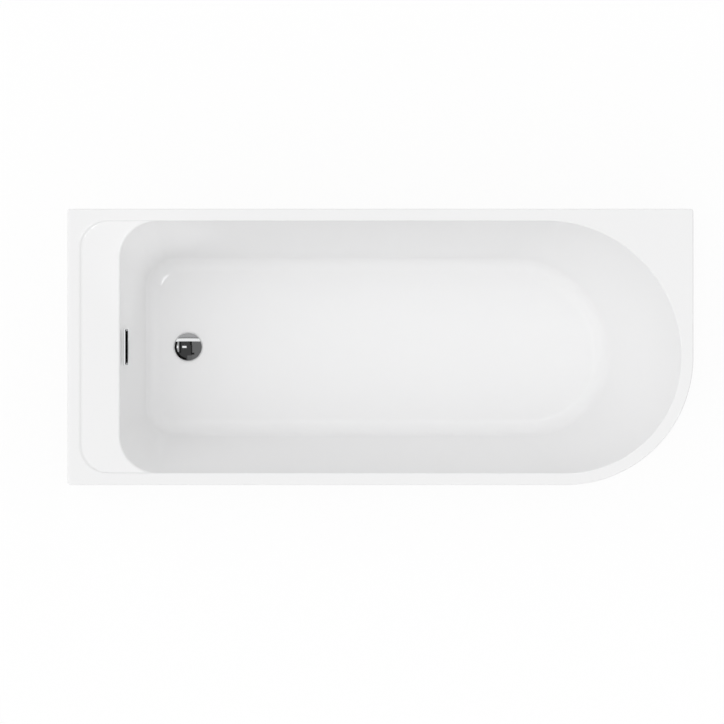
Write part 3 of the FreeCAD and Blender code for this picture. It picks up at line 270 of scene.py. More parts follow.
@dataclass(frozen=True)
class GlossSheet(Finish):
    """Vacuum-formed gloss acrylic: a faint drift in tone and a very fine orange peel."""

    drift: float = 0.994
    drift_scale: float = 2.2
    polish_scale: float = 30.0
    peel_scale: float = 260.0
    peel_detail: float = 1.0
    peel_depth: float = 0.000012

    def dress(self, sheet: NodeSheet) -> None:
        """Adds the drift and the orange peel.

        Args:
            sheet: the finish's nodes.
        """
        drift = sheet.noise(self.drift_scale)
        sheet.feed("Base Color", sheet.blend(drift, self.tone(self.drift), self.colour))
        sheet.feed("Roughness", sheet.spread(sheet.noise(self.polish_scale), *self.rough))
        sheet.emboss(sheet.noise(self.peel_scale, self.peel_detail), self.peel_depth)


@dataclass(frozen=True)
class ChoppedFibre(Finish):
    """Sprayed resin with chopped glass strands that lie every way."""

    strand: Triple = (0.83, 0.83, 0.77)
    strand_scale: float = 22.0
    strand_detail: float = 2.0
    strand_shape: Triple = (1.0, 14.0, 6.0)
    strand_turns: tuple[float, ...] = (0.2, 1.1, 2.1, 2.8)
    strand_show: Span = (-0.4, 0.9)
    lump_scale: float = 55.0
    lump_detail: float = 4.0
    depth: float = 0.0012

    def dress(self, sheet: NodeSheet) -> None:
        """Adds strands in several ways and the resin's lumps.

        Args:
            sheet: the finish's nodes.
        """
        strands = None
        for turn in self.strand_turns:
            where = sheet.place(self.strand_shape, turn)
            way = sheet.noise(self.strand_scale, self.strand_detail, where)
            strands = way if strands is None else sheet.both(strands, way, "MAXIMUM")
        lumps = sheet.noise(self.lump_scale, self.lump_detail)
        shown = sheet.spread(strands, *self.strand_show)
        sheet.feed("Base Color", sheet.blend(shown, self.colour, self.strand))
        sheet.feed("Roughness", sheet.spread(lumps, *self.rough))
        sheet.emboss(sheet.both(strands, lumps, "ADD"), self.depth)


@dataclass(frozen=True)
class PressedFlakes(Finish):
    """Particle board: pressed flakes of many tones."""

    cloud_scales: Span = (9.0, 14.0)
    flake_scale: float = 210.0
    flake_shape: Triple = (1.0, 0.45, 1.6)
    flake_shift: Triple = (0.2, 0.1, 0.0)
    dust_scale: float = 900.0
    show: Span = (-0.25, 0.2)
    dark: float = 0.62
    light: float = 1.22
    depth: float = 0.0003
    depth_share: float = 0.6

    def dress(self, sheet: NodeSheet) -> None:
        """Adds the flakes and the dust between them.

        Args:
            sheet: the finish's nodes.
        """
        broad, fine = (sheet.noise(scale) for scale in self.cloud_scales)
        clouds = sheet.both(broad, fine, "ADD")
        inputs = {"Vector": sheet.place(self.flake_shape), "Location": self.flake_shift}
        where = sheet.add("ShaderNodeMapping", inputs).outputs[0]
        tone = sheet.grey(sheet.cells(self.flake_scale, where))
        mixed = sheet.both(sheet.both(tone, clouds, "ADD"), sheet.noise(self.dust_scale), "ADD")
        shown = sheet.spread(mixed, *self.show)
        sheet.feed("Base Color", sheet.blend(shown, self.tone(self.dark), self.tone(self.light)))
        sheet.feed("Roughness", sheet.spread(tone, *self.rough))
        sheet.emboss(tone, self.depth, self.depth_share)


@dataclass(frozen=True)
class PlanedWood(Finish):
    """Planed softwood with long growth lines."""

    grain: Grain = Grain.ALONG_X
    late: Triple = (0.47, 0.29, 0.14)
    line_scale: float = 160.0
    line_detail: float = 2.0
    line_show: Span = (0.2, 0.8)
    pores_to_line: float = 6.0
    pore_detail: float = 1.0
    pore_show: Span = (-0.1, 0.1)
    depth: float = 0.0002
    depth_share: float = 0.7

    def dress(self, sheet: NodeSheet) -> None:
        """Adds growth lines along the grain and fine pores.

        Args:
            sheet: the finish's nodes.
        """
        along = sheet.place(self.grain.value)
        lines = sheet.noise(self.line_scale, self.line_detail, along)
        pores = sheet.noise(self.line_scale * self.pores_to_line, self.pore_detail, along)
        mixed = sheet.both(lines, sheet.spread(pores, *self.pore_show), "ADD")
        tone = sheet.spread(mixed, *self.line_show)
        sheet.feed("Base Color", sheet.blend(tone, self.colour, self.late))
        sheet.feed("Roughness", sheet.spread(lines, *self.rough))
        sheet.emboss(lines, self.depth, self.depth_share)


@dataclass(frozen=True)
class Spangled(Finish):
    """Hot-dip zinc with its crystal spangle."""

    cell_scale: float = 95.0
    cell_show: Span = (0.35, 0.6)
    contrast: float = 0.78
    bloom_scale: float = 18.0
    bloom_detail: float = 4.0
    bloom_show: Span = (-0.1, 0.12)
    depth: float = 0.00004
    depth_share: float = 0.5

    def dress(self, sheet: NodeSheet) -> None:
        """Adds crystals, each with its own tone and polish, and dull blooms.

        Args:
            sheet: the finish's nodes.
        """
        cells = sheet.cells(self.cell_scale)
        tone = sheet.grey(cells)
        bloom = sheet.noise(self.bloom_scale, self.bloom_detail)
        mixed = sheet.both(sheet.spread(tone, *self.cell_show), sheet.spread(bloom, *self.bloom_show), "ADD")
        sheet.feed("Base Color", sheet.blend(mixed, self.tone(self.contrast), self.colour))
        sheet.feed("Roughness", sheet.spread(tone, *self.rough))
        sheet.emboss(cells.outputs["Distance"], self.depth, self.depth_share)


@dataclass(frozen=True)
class FineGrain(Finish):
    """A moulded, drawn or plated surface: soft drift in tone and polish, and a fine grain."""

    drift_scale: float = 25.0
    drift_detail: float = 4.0
    drift: float = 0.9
    grain_scale: float = 1200.0
    grain_detail: float = 2.0
    grain_depth: float = 0.00004
    grain_share: float = 0.5
    stretch: Triple = (1.0, 1.0, 1.0)
    glow: float = 0.0
    glow_reach: Triple = (0.004, 0.004, 0.004)

    def dress(self, sheet: NodeSheet) -> None:
        """Adds the drift and the grain.

        Args:
            sheet: the finish's nodes.
        """
        where = sheet.place(self.stretch)
        drift = sheet.noise(self.drift_scale, self.drift_detail)
        sheet.shader.inputs["Subsurface Weight"].default_value = self.glow
        sheet.shader.inputs["Subsurface Radius"].default_value = self.glow_reach
        sheet.feed("Base Color", sheet.blend(drift, self.tone(self.drift), self.colour))
        sheet.feed("Roughness", sheet.spread(drift, *self.rough))
        grain = sheet.noise(self.grain_scale, self.grain_detail, where)
        sheet.emboss(grain, self.grain_depth, self.grain_share)


PINE = (0.76, 0.58, 0.36)
PINE_ROUGH = (0.52, 0.68)
FINISHES: tuple[Finish, ...] = (
    GlossSheet(Slot.ACRYLIC, (0.889, 0.889, 0.891), (0.15, 0.20), coat=0.45, coat_rough=0.08, ior=1.49,
               shine=0.0),
    GlossSheet(Slot.PANEL, (0.885, 0.887, 0.89), (0.11, 0.17), coat=0.3, ior=1.49),
    ChoppedFibre(Slot.GLASS_FIBRE, (0.60, 0.61, 0.50), (0.40, 0.62)),
    PressedFlakes(Slot.PARTICLE_BOARD, (0.58, 0.43, 0.27), (0.72, 0.9)),
    PlanedWood(Slot.SOFTWOOD, PINE, PINE_ROUGH),
    Spangled(Slot.GALVANISED, (0.66, 0.68, 0.70), (0.30, 0.52), metal=1.0),
    FineGrain(Slot.ZINC, (0.74, 0.75, 0.76), (0.24, 0.38), metal=1.0, drift_scale=70.0, drift=0.84),
    FineGrain(Slot.SPRING, (0.58, 0.57, 0.56), (0.26, 0.40), metal=1.0, drift=0.8),
    FineGrain(Slot.BLACK_PLASTIC, (0.034, 0.035, 0.037), (0.42, 0.58), grain_depth=0.00009),
    FineGrain(Slot.RUBBER, (0.030, 0.030, 0.031), (0.72, 0.90), grain_depth=0.00006),
    FineGrain(Slot.CHROME, (0.86, 0.87, 0.88), (0.015, 0.045), metal=1.0, drift=0.985, grain_depth=0.0),
    FineGrain(Slot.BRASS, (0.72, 0.55, 0.25), (0.20, 0.34), metal=1.0, stretch=(0.1, 0.1, 1.0)),
    FineGrain(Slot.WHITE_PLASTIC, (0.84, 0.84, 0.82), (0.36, 0.48), drift=0.965, glow=0.08),
    FineGrain(Slot.HOSE, (0.55, 0.56, 0.57), (0.44, 0.58), drift=0.88),
)
CROSS_GRAIN = PlanedWood(Slot.SOFTWOOD, PINE, PINE_ROUGH, grain=Grain.ALONG_Y, name="softwood_across")
# Near-black with next to no gloss: painted shade for the overflow cap's inside and its seal, so that the slot and
# the line round the cap look as dark as deep shade.
PAINTED_SHADE_LINING = FineGrain(Slot.BLACK_PLASTIC, (0.005, 0.005, 0.005), (0.80, 0.95), ior=1.05,
                         name="painted_shade_lining")


def line(start: Point, end: Point, count: int) -> list[Point]:
    """Spaces points evenly along a line.

    Args:
        start: the first point.
        end: where the line ends, which the next run starts from.
        count: how many points it has.

    Returns:
        The points.
    """
    across, up = end[0] - start[0], end[1] - start[1]
    shares = [step / count for step in range(count)]
    return [(start[0] + across * share, start[1] + up * share) for share in shares]


def arc(centre: Point, radius: float, start: float, count: int) -> list[Point]:
    """Points spaced evenly along a quarter turn to the left, from a first angle in degrees."""
    angles = [math.radians(start + 90 * step / count) for step in range(count)]
    return [(centre[0] + radius * math.cos(angle), centre[1] + radius * math.sin(angle)) for angle in angles]


def full_turn(count: int) -> list[float]:
    """Angles spaced evenly round a full turn."""
    return [2 * math.pi * step / count for step in range(count)]


def quarter_turn(count: int) -> list[float]:
    """Angles spaced evenly over a quarter turn, both ends included."""
    return [math.pi / 2 * step / count for step in range(count + 1)]


def lift(plan: Sequence[Point], z: float) -> list[Vector]:
    """The points of a plan, raised to a level."""
    return [Vector((x, y, z)) for x, y in plan]


def round_point(centre: Point, radius: float, angle: float, z: float) -> Vector:
    """A point round an upright axis."""
    return Vector((centre[0] + radius * math.cos(angle), centre[1] + radius * math.sin(angle), z))


def circle(radius: float, z: float, count: int, centre: Point) -> list[Vector]:
    """Points round a level circle."""
    return [round_point(centre, radius, angle, z) for angle in full_turn(count)]


def soften(corners: Sequence[Vector], radii: Sequence[float], steps: int = 8) -> list[Vector]:
    """Rounds the inner corners of an open run of points.

    Args:
        corners: the run's points.
        radii: how far from each inner corner its rounding starts.
        steps: points in each rounding.

    Returns:
        The rounded run.
    """
    made = [corners[0]]
    for before, corner, after, radius in zip(corners, corners[1:], corners[2:], radii):
        back, ahead = before - corner, after - corner
        reach = min(radius, CORNER_SHARE * back.length, CORNER_SHARE * ahead.length)
        if reach < TINY:
            made.append(corner)
            continue
        first, last = corner + back.normalized() * reach, corner + ahead.normalized() * reach
        for step in range(steps + 1):
            t = step / steps
            made.append(first * (1 - t) ** 2 + corner * (2 * t * (1 - t)) + last * t * t)
    made.append(corners[-1])
    return made


def respace(run: Sequence[Vector], count: int) -> list[Vector]:
    """Spaces the points of an open run evenly.

    Args:
        run: an open run of points.
        count: how many points to give it.

    Returns:
        The run with evenly spaced points, both ends kept.
    """
    lengths = [0.0]
    for first, second in zip(run, run[1:]):
        lengths.append(lengths[-1] + (second - first).length)
    made, part = [], 0
    for step in range(count):
        goal = lengths[-1] * step / (count - 1)
        while part < len(run) - 2 and lengths[part + 1] < goal:
            part += 1
        gap = lengths[part + 1] - lengths[part]
        share = (goal - lengths[part]) / gap if gap > TINY else 0.0
        made.append(run[part].lerp(run[part + 1], min(1.0, share)))
    return made


def shape_of(holder: bpy.types.Object) -> bpy.types.Mesh:
    """The shape that an object's modifiers or curve give it, as a new mesh."""
    bpy.context.view_layer.update()
    return bpy.data.meshes.new_from_object(holder.evaluated_get(bpy.context.evaluated_depsgraph_get()))


class Shaper:
    """Collects rings of points into one mesh."""

    def __init__(self) -> None:
        """Starts an empty mesh."""
        self.mesh = bmesh.new()

    def ring(self, points: Sequence[Vector]) -> Ring:
        """Adds the points of a ring."""
        return [self.mesh.verts.new(point) for point in points]

    def cap(self, loop: Ring) -> None:
        """Closes a ring with one face."""
        self.mesh.faces.new(loop)

    def join(self, first: Ring, second: Ring, start: int = 0) -> None:
        """Joins two rings of equal counts with a band of faces.

        Args:
            first: a ring.
            second: the next one.
            start: the corner where the band starts, which leaves the corners before it open.
        """
        count = len(first)
        for i in range(start, count):
            after = (i + 1) % count
            self.mesh.faces.new((first[i], first[after], second[after], second[i]))

    def loft(self, rings: Sequence[Sequence[Vector]]) -> tuple[Ring, Ring]:
        """Joins rings one after another.

        Args:
            rings: rings of equal counts, in order.

        Returns:
            The first and last ring's corners.
        """
        made = [self.ring(points) for points in rings]
        for first, second in zip(made, made[1:]):
            self.join(first, second)
        return made[0], made[-1]

    def solid(self, rings: Sequence[Sequence[Vector]]) -> None:
        """Joins rings one after another and closes both ends."""
        for end in self.loft(rings):
            self.cap(end)

    def fill_between(self, *loops: Ring) -> None:
        """Fills a flat space.

        Args:
            loops: the loop round it, and then the loops that it leaves open.
        """
        edges = []
        for loop in loops:
            for i, corner in enumerate(loop):
                pair = (corner, loop[(i + 1) % len(loop)])
                edges.append(self.mesh.edges.get(pair) or self.mesh.edges.new(pair))
        bmesh.ops.triangle_fill(self.mesh, use_beauty=True, use_dissolve=False, edges=edges)

    def finish(self, name: str) -> bpy.types.Object:
        """Makes an object of the mesh.

        Args:
            name: the piece's name.

        Returns:
            The mesh as a smooth object, its hard edges kept.
        """
        bmesh.ops.remove_doubles(self.mesh, verts=self.mesh.verts, dist=WELD_GAP)
        bmesh.ops.recalc_face_normals(self.mesh, faces=self.mesh.faces)
        data = bpy.data.meshes.new(name)
        self.mesh.to_mesh(data)
        self.mesh.free()
        data.shade_smooth()
        data.set_sharp_from_angle(angle=SMOOTH_ANGLE)
        piece = bpy.data.objects.new(name, data)
        bpy.context.scene.collection.objects.link(piece)
        return piece


def settle(piece: bpy.types.Object, body: str, slot: Slot, materials: Materials,
           *nodes: str) -> bpy.types.Object:
    """Gives a piece its finish and its body, and lets it stand for CAD nodes.

    Args:
        piece: the piece.
        body: the body that it rides on.
        slot: its material slot.
        materials: the finishes, by slot.
        nodes: the nodes that it stands for.

    Returns:
        The piece.
    """
    piece.data.materials.append(materials[slot])
    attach(piece, body)
    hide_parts(*nodes)
    LOG.info("%s: %d faces, on %s, for %s", piece.name, len(piece.data.polygons), body, ", ".join(nodes))
    return piece


@dataclass(frozen=True)
class WallSpot:
    """A spot on the leaning tap-end wall, with its own directions."""

    foot: Vector
    lean: float

    def place(self, out: float, along: float, up: float) -> Vector:
        """Finds a place near the wall.

        Args:
            out: distance out of the wall.
            along: distance along it.
            up: distance up its slope.

        Returns:
            The place.
        """
        into = Vector((math.cos(self.lean), 0, math.sin(self.lean)))
        rise = Vector((-math.sin(self.lean), 0, math.cos(self.lean)))
        return self.foot + into * out + Vector((0, along, 0)) + rise * up


@dataclass
class TubShell:
    """The white tub in one sheet: rim with its lip, tap ledge, basin, rounded floor and waste recess."""

    half_length: float
    half_width: float
    rim_top: float
    waste: Point
    rim_width: float = 0.032
    lip_depth: float = 0.040
    sheet: float = 0.005
    edge_radius: float = 0.004
    least_bend: float = 0.001
    square_corner: float = 0.008
    free_corner: float = 0.347
    ledge_width: float = 0.110
    ledge_drop: float = 0.005
    ledge_step_run: float = 0.006
    ledge_corner: float = 0.075
    well_edge_radius: float = 0.0035
    ledge_foot_radius: float = 0.0035
    ledge_edge_radius: float = 0.010
    basin_depth: float = 0.415
    basin_corner: float = 0.100
    floor_corner: float = 0.082
    tap_end_run: float = 0.078
    side_run: float = 0.110
    round_end_run: float = 0.211
    floor_fillet: float = 0.050
    recess_radius: float = 0.0372
    recess_depth: float = 0.004
    recess_rounding: float = 0.003
    waste_hole: float = 0.024
    overflow_drop: float = 0.068
    neck_half_length: float = 0.0120
    neck_half_height: float = 0.0057
    screw_hole: float = OVERFLOW_SCREW_HOLE
    screw_spacing: float = OVERFLOW_SCREW_SPACING
    hole_reach: float = 0.012
    support: float = 0.005
    rim_flat: float = 0.012
    shoulder: float = 0.014
    long_stations: int = 36
    round_stations: int = 40
    corner_stations: int = 24
    ledge_side_stations: int = 12
    ledge_bend_stations: int = 9
    rim_side_stations: int = 14
    rim_bend_stations: int = 6
    screw_stations: int = 8
    edge_steps: int = 6
    ledge_rings: int = 120
    under_ledge_rings: int = 40
    wall_rings: int = 26
    fillet_steps: int = 14
    recess_stations: int = 72

    @property
    def apex_y(self) -> float:
        """Where the round end reaches furthest, across the bath."""
        return self.free_corner - self.half_width

    @property
    def basin_x(self) -> float:
        """Where the basin starts, beside the ledge."""
        return self.rim_width + self.ledge_width - self.half_length

    @property
    def turn_x(self) -> float:
        """Where the sides start to turn into the tap end."""
        return self.basin_x + self.basin_corner

    def level(self, drop: float) -> float:
        """Height of a depth below the rim."""
        return self.rim_top - drop

    def below_ledge(self, drop: float) -> float:
        """How far down a depth below the rim lies, from the ledge to the floor, as a share."""
        return (drop - self.ledge_drop) / (self.basin_depth - self.ledge_drop)

    def wall_x(self, drop: float) -> float:
        """Where the tap-end wall stands at a depth below the rim."""
        return self.basin_x + self.tap_end_run * self.below_ledge(drop)

    def overflow_spot(self) -> WallSpot:
        """The middle of the overflow on the tap-end wall."""
        foot = Vector((self.wall_x(self.overflow_drop), 0, self.level(self.overflow_drop)))
        return WallSpot(foot, math.atan2(self.tap_end_run, self.basin_depth - self.ledge_drop))

    def sides(self, drop: float, grow: float) -> Span:
        """Finds the well's extent at a depth.

        Args:
            drop: depth below the rim.
            grow: how far the plan is grown outwards.

        Returns:
            Half the well's width, and where its round end reaches.
        """
        share = drop / self.basin_depth
        side = self.half_width - self.rim_width - self.side_run * share + grow
        return side, self.half_length - self.rim_width - self.round_end_run * share + grow

    def round_end(self, side: float, right: float, left: float) -> tuple[list[Point], list[Point]]:
        """Draws the well's sides and round end.

        Args:
            side: half the well's width.
            right: where its round end reaches.
            left: where its straight sides start.

        Returns:
            The front side with the D of the round end, and the back side.
        """
        front, back = side + self.apex_y, side - self.apex_y
        out = line((left, -side), (right - front, -side), self.long_stations)
        out += arc((right - front, self.apex_y), front, -90, self.round_stations)
        out += arc((right - back, self.apex_y), back, 0, self.round_stations)
        return out, line((right - back, side), (left, side), self.long_stations)

    def basin_plan(self, drop: float, grow: float) -> list[Point]:
        """Draws the basin's plan.

        Args:
            drop: depth below the rim.
            grow: how far the plan is grown outwards.

        Returns:
            Points round the plan.
        """
        side, right = self.sides(drop, grow)
        left = self.wall_x(drop) - grow
        corner = self.basin_corner - (self.basin_corner - self.floor_corner) * self.below_ledge(drop) + grow
        front, back = self.round_end(side, right, left + corner)
        end = arc((left + corner, side - corner), corner, 90, self.corner_stations)
        end += line((left, side - corner), (left, corner - side), self.corner_stations)
        end += arc((left + corner, corner - side), corner, 180, self.corner_stations)
        return front + back + end

    def ledge_plan(self, drop: float, grow: float) -> list[Point]:
        """Draws the plan of the well over the ledge.

        Args:
            drop: depth below the rim.
            grow: how far the plan is grown outwards.

        Returns:
            Points round the plan, each of which belongs to one of the basin's plan.
        """
        side, right = self.sides(drop, grow)
        step = min(1.0, drop / self.ledge_drop)
        left = self.rim_width - self.half_length + self.ledge_step_run * step - grow
        corner, turn = self.ledge_corner + grow, self.turn_x
        straight = side - self.basin_corner - grow
        along, bend = self.ledge_side_stations, self.ledge_bend_stations
        rest = self.corner_stations - along - bend
        front, back = self.round_end(side, right, turn)
        end = line((turn, side), (left + corner, side), along)
        end += arc((left + corner, side - corner), corner, 90, bend)
        end += line((left, side - corner), (left, straight), rest)
        end += line((left, straight), (left, -straight), self.corner_stations)
        end += line((left, -straight), (left, corner - side), rest)
        end += arc((left + corner, corner - side), corner, 180, bend)
        end += line((left + corner, -side), (turn, -side), along)
        return front + back + end

    def rim_plan(self, inset: float) -> list[Point]:
        """Draws the rim's outer plan: square corners and the free round one.

        Args:
            inset: how far the plan is drawn in.

        Returns:
            Points round the plan, each of which belongs to one of the well's plan.
        """
        long, wide = self.half_length - inset, self.half_width - inset
        corner, turn = max(self.square_corner - inset, self.least_bend), self.turn_x
        free_x = self.half_length - self.free_corner
        side, right = self.sides(0.0, 0.0)
        back_x, straight = right - (side - self.apex_y), side - self.basin_corner
        bend, far = self.rim_bend_stations, self.rim_side_stations
        beside = (self.round_stations - bend) // 2
        near = self.corner_stations - bend - far
        plan = line((turn, -wide), (free_x, -wide), self.long_stations)
        plan += arc((free_x, self.apex_y), self.free_corner - inset, -90, self.round_stations)
        plan += line((long, self.apex_y), (long, wide - corner), beside)
        plan += arc((long - corner, wide - corner), corner, 0, bend)
        plan += line((long - corner, wide), (back_x, wide), beside)
        plan += line((back_x, wide), (turn, wide), self.long_stations)
        plan += line((turn, wide), (corner - long, wide), far)
        plan += arc((corner - long, wide - corner), corner, 90, bend)
        plan += line((-long, wide - corner), (-long, straight), near)
        plan += line((-long, straight), (-long, -straight), self.corner_stations)
        plan += line((-long, -straight), (-long, corner - wide), near)
        plan += arc((corner - long, corner - wide), corner, 180, bend)
        plan += line((corner - long, -wide), (turn, -wide), far)
        return plan

    def ledge_runs(self, grow: float) -> list[list[Vector]]:
        """Rings from the rim's flat, over the well's edge and the tap ledge, to the basin's shoulder.

        Args:
            grow: how far the surface is grown outwards and down.

        Returns:
            The rings, which lie close together along the sides, where there is no ledge.
        """
        ledge, low = self.ledge_drop + grow, self.ledge_drop + grow + self.shoulder
        levels = [lift(plan, self.level(drop)) for plan, drop in (
            (self.ledge_plan(grow, grow + self.rim_flat), grow),
            (self.ledge_plan(grow, grow), grow),
            (self.ledge_plan(ledge, grow), ledge),
            (self.basin_plan(ledge, grow), ledge),
            (self.basin_plan(low, grow), low),
        )]
        radii = (self.well_edge_radius, self.ledge_foot_radius, self.ledge_edge_radius - grow)
        count = self.under_ledge_rings if grow else self.ledge_rings
        stations = [respace(soften(run, radii), count) for run in zip(*levels)]
        return [list(ring) for ring in zip(*stations)]

    def floor_runs(self, shoulder: Sequence[Vector], grow: float) -> list[list[Vector]]:
        """Rings from the basin's shoulder down the wall and round onto the floor.

        Args:
            shoulder: the ring that the wall starts from.
            grow: how far the surface is grown outwards and down.

        Returns:
            The rings, the last of them on the flat floor.
        """
        depth = self.basin_depth + grow
        foot = lift(self.basin_plan(depth, grow), self.level(depth))
        radius, count = self.floor_fillet + grow, len(foot)
        stations = []
        for i, corner in enumerate(foot):
            along = foot[(i + 1) % count] - foot[i - 1]
            inward = Vector((-along.y, along.x, 0)).normalized()
            down = (corner - shoulder[i]).normalized()
            open_angle = math.acos(-down.dot(inward))
            reach = radius / math.tan(open_angle / 2)
            side = (inward - down * inward.dot(down)).normalized()
            start = corner - down * reach
            centre = start + side * radius
            run = [shoulder[i].lerp(start, (step + 1) / self.wall_rings) for step in range(self.wall_rings)]
            for step in range(1, self.fillet_steps + 1):
                turned = (math.pi - open_angle) * step / self.fillet_steps
                run.append(centre + (down * math.sin(turned) - side * math.cos(turned)) * radius)
            run.append(run[-1] + inward * self.support)
            stations.append(run)
        return [list(ring) for ring in zip(*stations)]

    def top_rings(self) -> list[list[Vector]]:
        """Draws the face that shows.

        Returns:
            Rings from the lip's foot to the flat floor.
        """
        radius = self.edge_radius
        lip = (self.lip_depth, radius + self.support)
        rings = [lift(self.rim_plan(0.0), self.level(drop)) for drop in lip]
        for angle in quarter_turn(self.edge_steps):
            inset, drop = radius * (1 - math.cos(angle)), radius * (1 - math.sin(angle))
            rings.append(lift(self.rim_plan(inset), self.level(drop)))
        rings.append(lift(self.rim_plan(radius + self.support), self.rim_top))
        rings += self.ledge_runs(0.0)
        return rings + self.floor_runs(rings[-1], 0.0)

    def under_rings(self) -> list[list[Vector]]:
        """Draws the sheet's other face.

        Returns:
            Rings from the lip's foot to the floor's underside.
        """
        sheet = self.sheet
        rings = [lift(self.rim_plan(sheet), self.level(drop)) for drop in (self.lip_depth, sheet)]
        rings += self.ledge_runs(sheet)
        return rings + self.floor_runs(rings[-1], sheet)

    def recess_rings(self) -> list[list[Vector]]:
        """Draws the round recess that the waste sits in.

        Returns:
            Rings from the floor down to the waste's hole.
        """
        floor, rounding = self.level(self.basin_depth), self.recess_rounding
        low = floor - self.recess_depth
        profile = [(self.recess_radius + rounding + self.support, floor)]
        for angle in quarter_turn(self.edge_steps):
            profile.append((self.recess_radius + rounding * (1 - math.sin(angle)),
                            floor - rounding * (1 - math.cos(angle))))
        profile += [(self.recess_radius, low), (self.waste_hole, low)]
        return [circle(radius, z, self.recess_stations, self.waste) for radius, z in profile]

    def dish_rings(self) -> list[list[Vector]]:
        """Draws the recess's underside.

        Returns:
            Rings from the floor's underside down to the waste's hole.
        """
        floor, outside = self.level(self.basin_depth + self.sheet), self.recess_radius + self.sheet
        low = floor - self.recess_depth
        profile = [(outside + self.support, floor), (outside, floor), (outside, low), (self.waste_hole, low)]
        return [circle(radius, z, self.recess_stations, self.waste) for radius, z in profile]

    def hole_outlines(self) -> list[list[Point]]:
        """Draws the overflow's holes in the wall.

        Returns:
            An oblong for its neck and two circles for its screws.
        """
        half, bend = self.neck_half_height, self.corner_stations
        flat = self.neck_half_length - half
        neck = arc((flat, 0.0), half, 0, bend) + arc((-flat, 0.0), half, 90, bend)
        neck += arc((-flat, 0.0), half, 180, bend) + arc((flat, 0.0), half, 270, bend)
        outlines = [neck]
        for middle in (-self.screw_spacing / 2, self.screw_spacing / 2):
            hole = []
            for start in (0, 90, 180, 270):
                hole += arc((middle, 0.0), self.screw_hole, start, self.screw_stations)
            outlines.append(hole)
        return outlines

    def pierce(self, tub: bpy.types.Object) -> None:
        """Cuts the overflow's holes through the tap-end wall.

        Args:
            tub: the tub without holes.
        """
        shaper, spot = Shaper(), self.overflow_spot()
        ends = (-self.hole_reach, self.hole_reach)
        for outline in self.hole_outlines():
            shaper.solid([[spot.place(out, *point) for point in outline] for out in ends])
        cutter = shaper.finish("overflow_holes")
        cut = tub.modifiers.new("overflow_holes", "BOOLEAN")
        cut.operation, cut.solver, cut.object = "DIFFERENCE", "EXACT", cutter
        pierced = shape_of(tub)
        tub.modifiers.clear()
        tub.data = pierced
        pierced.set_sharp_from_angle(angle=SMOOTH_ANGLE)
        bpy.data.objects.remove(cutter)

    def build(self, materials: Materials) -> bpy.types.Object:
        """Makes the tub's mesh and dresses it.

        Args:
            materials: the finishes, by slot.

        Returns:
            The tub.
        """
        shaper = Shaper()
        lip_out, floor = shaper.loft(self.top_rings())
        lip_in, under = shaper.loft(self.under_rings())
        recess, hole = shaper.loft(self.recess_rings())
        dish, hole_under = shaper.loft(self.dish_rings())
        shaper.join(lip_out, lip_in)
        shaper.join(hole, hole_under)
        shaper.fill_between(floor, recess)
        shaper.fill_between(under, dish)
        tub = shaper.finish("tub_shell")
        self.pierce(tub)
        return settle(tub, "bath", Slot.ACRYLIC, materials, "acrylic_shell")


@dataclass
class PlugDisc:
    """The mirror-bright disc that closes the waste: a shallow dome with a soft edge."""

    centre: Point
    low: float
    high: float
    radius: float
    crown: float = 0.003
    edge_radius: float = 0.0006
    foot_chamfer: float = 0.0004
    stations: int = 128
    dome_rings: int = 28
    edge_steps: int = 6

    def profile(self) -> list[Point]:
        """Draws the disc's section.

        Returns:
            Radius and height along it, from its foot to its crown.
        """
        sphere = (self.radius ** 2 + self.crown ** 2) / (2 * self.crown)
        edge, inner = self.high - self.crown, self.radius - self.edge_radius
        shoulder = self.high - sphere + math.sqrt(sphere ** 2 - inner ** 2)
        run = [(self.radius - self.foot_chamfer, self.low), (self.radius, self.low + self.foot_chamfer)]
        run.append((self.radius, edge - self.edge_radius))
        for angle in quarter_turn(self.edge_steps)[1:-1]:
            height = edge - self.edge_radius + (shoulder - edge + self.edge_radius) * math.sin(angle)
            run.append((inner + self.edge_radius * math.cos(angle), height))
        for ring in range(self.dome_rings):
            radius = inner * (1 - ring / self.dome_rings)
            run.append((radius, self.high - sphere + math.sqrt(sphere ** 2 - radius ** 2)))
        return run

    def build(self, materials: Materials) -> bpy.types.Object:
        """Makes the disc's mesh and dresses it.

        Args:
            materials: the finishes, by slot.

        Returns:
            The disc.
        """
        shaper = Shaper()
        shaper.solid([circle(radius, z, self.stations, self.centre) for radius, z in self.profile()])
        return settle(shaper.finish("plug_disc"), "plug", Slot.CHROME, materials, "plug_cap")


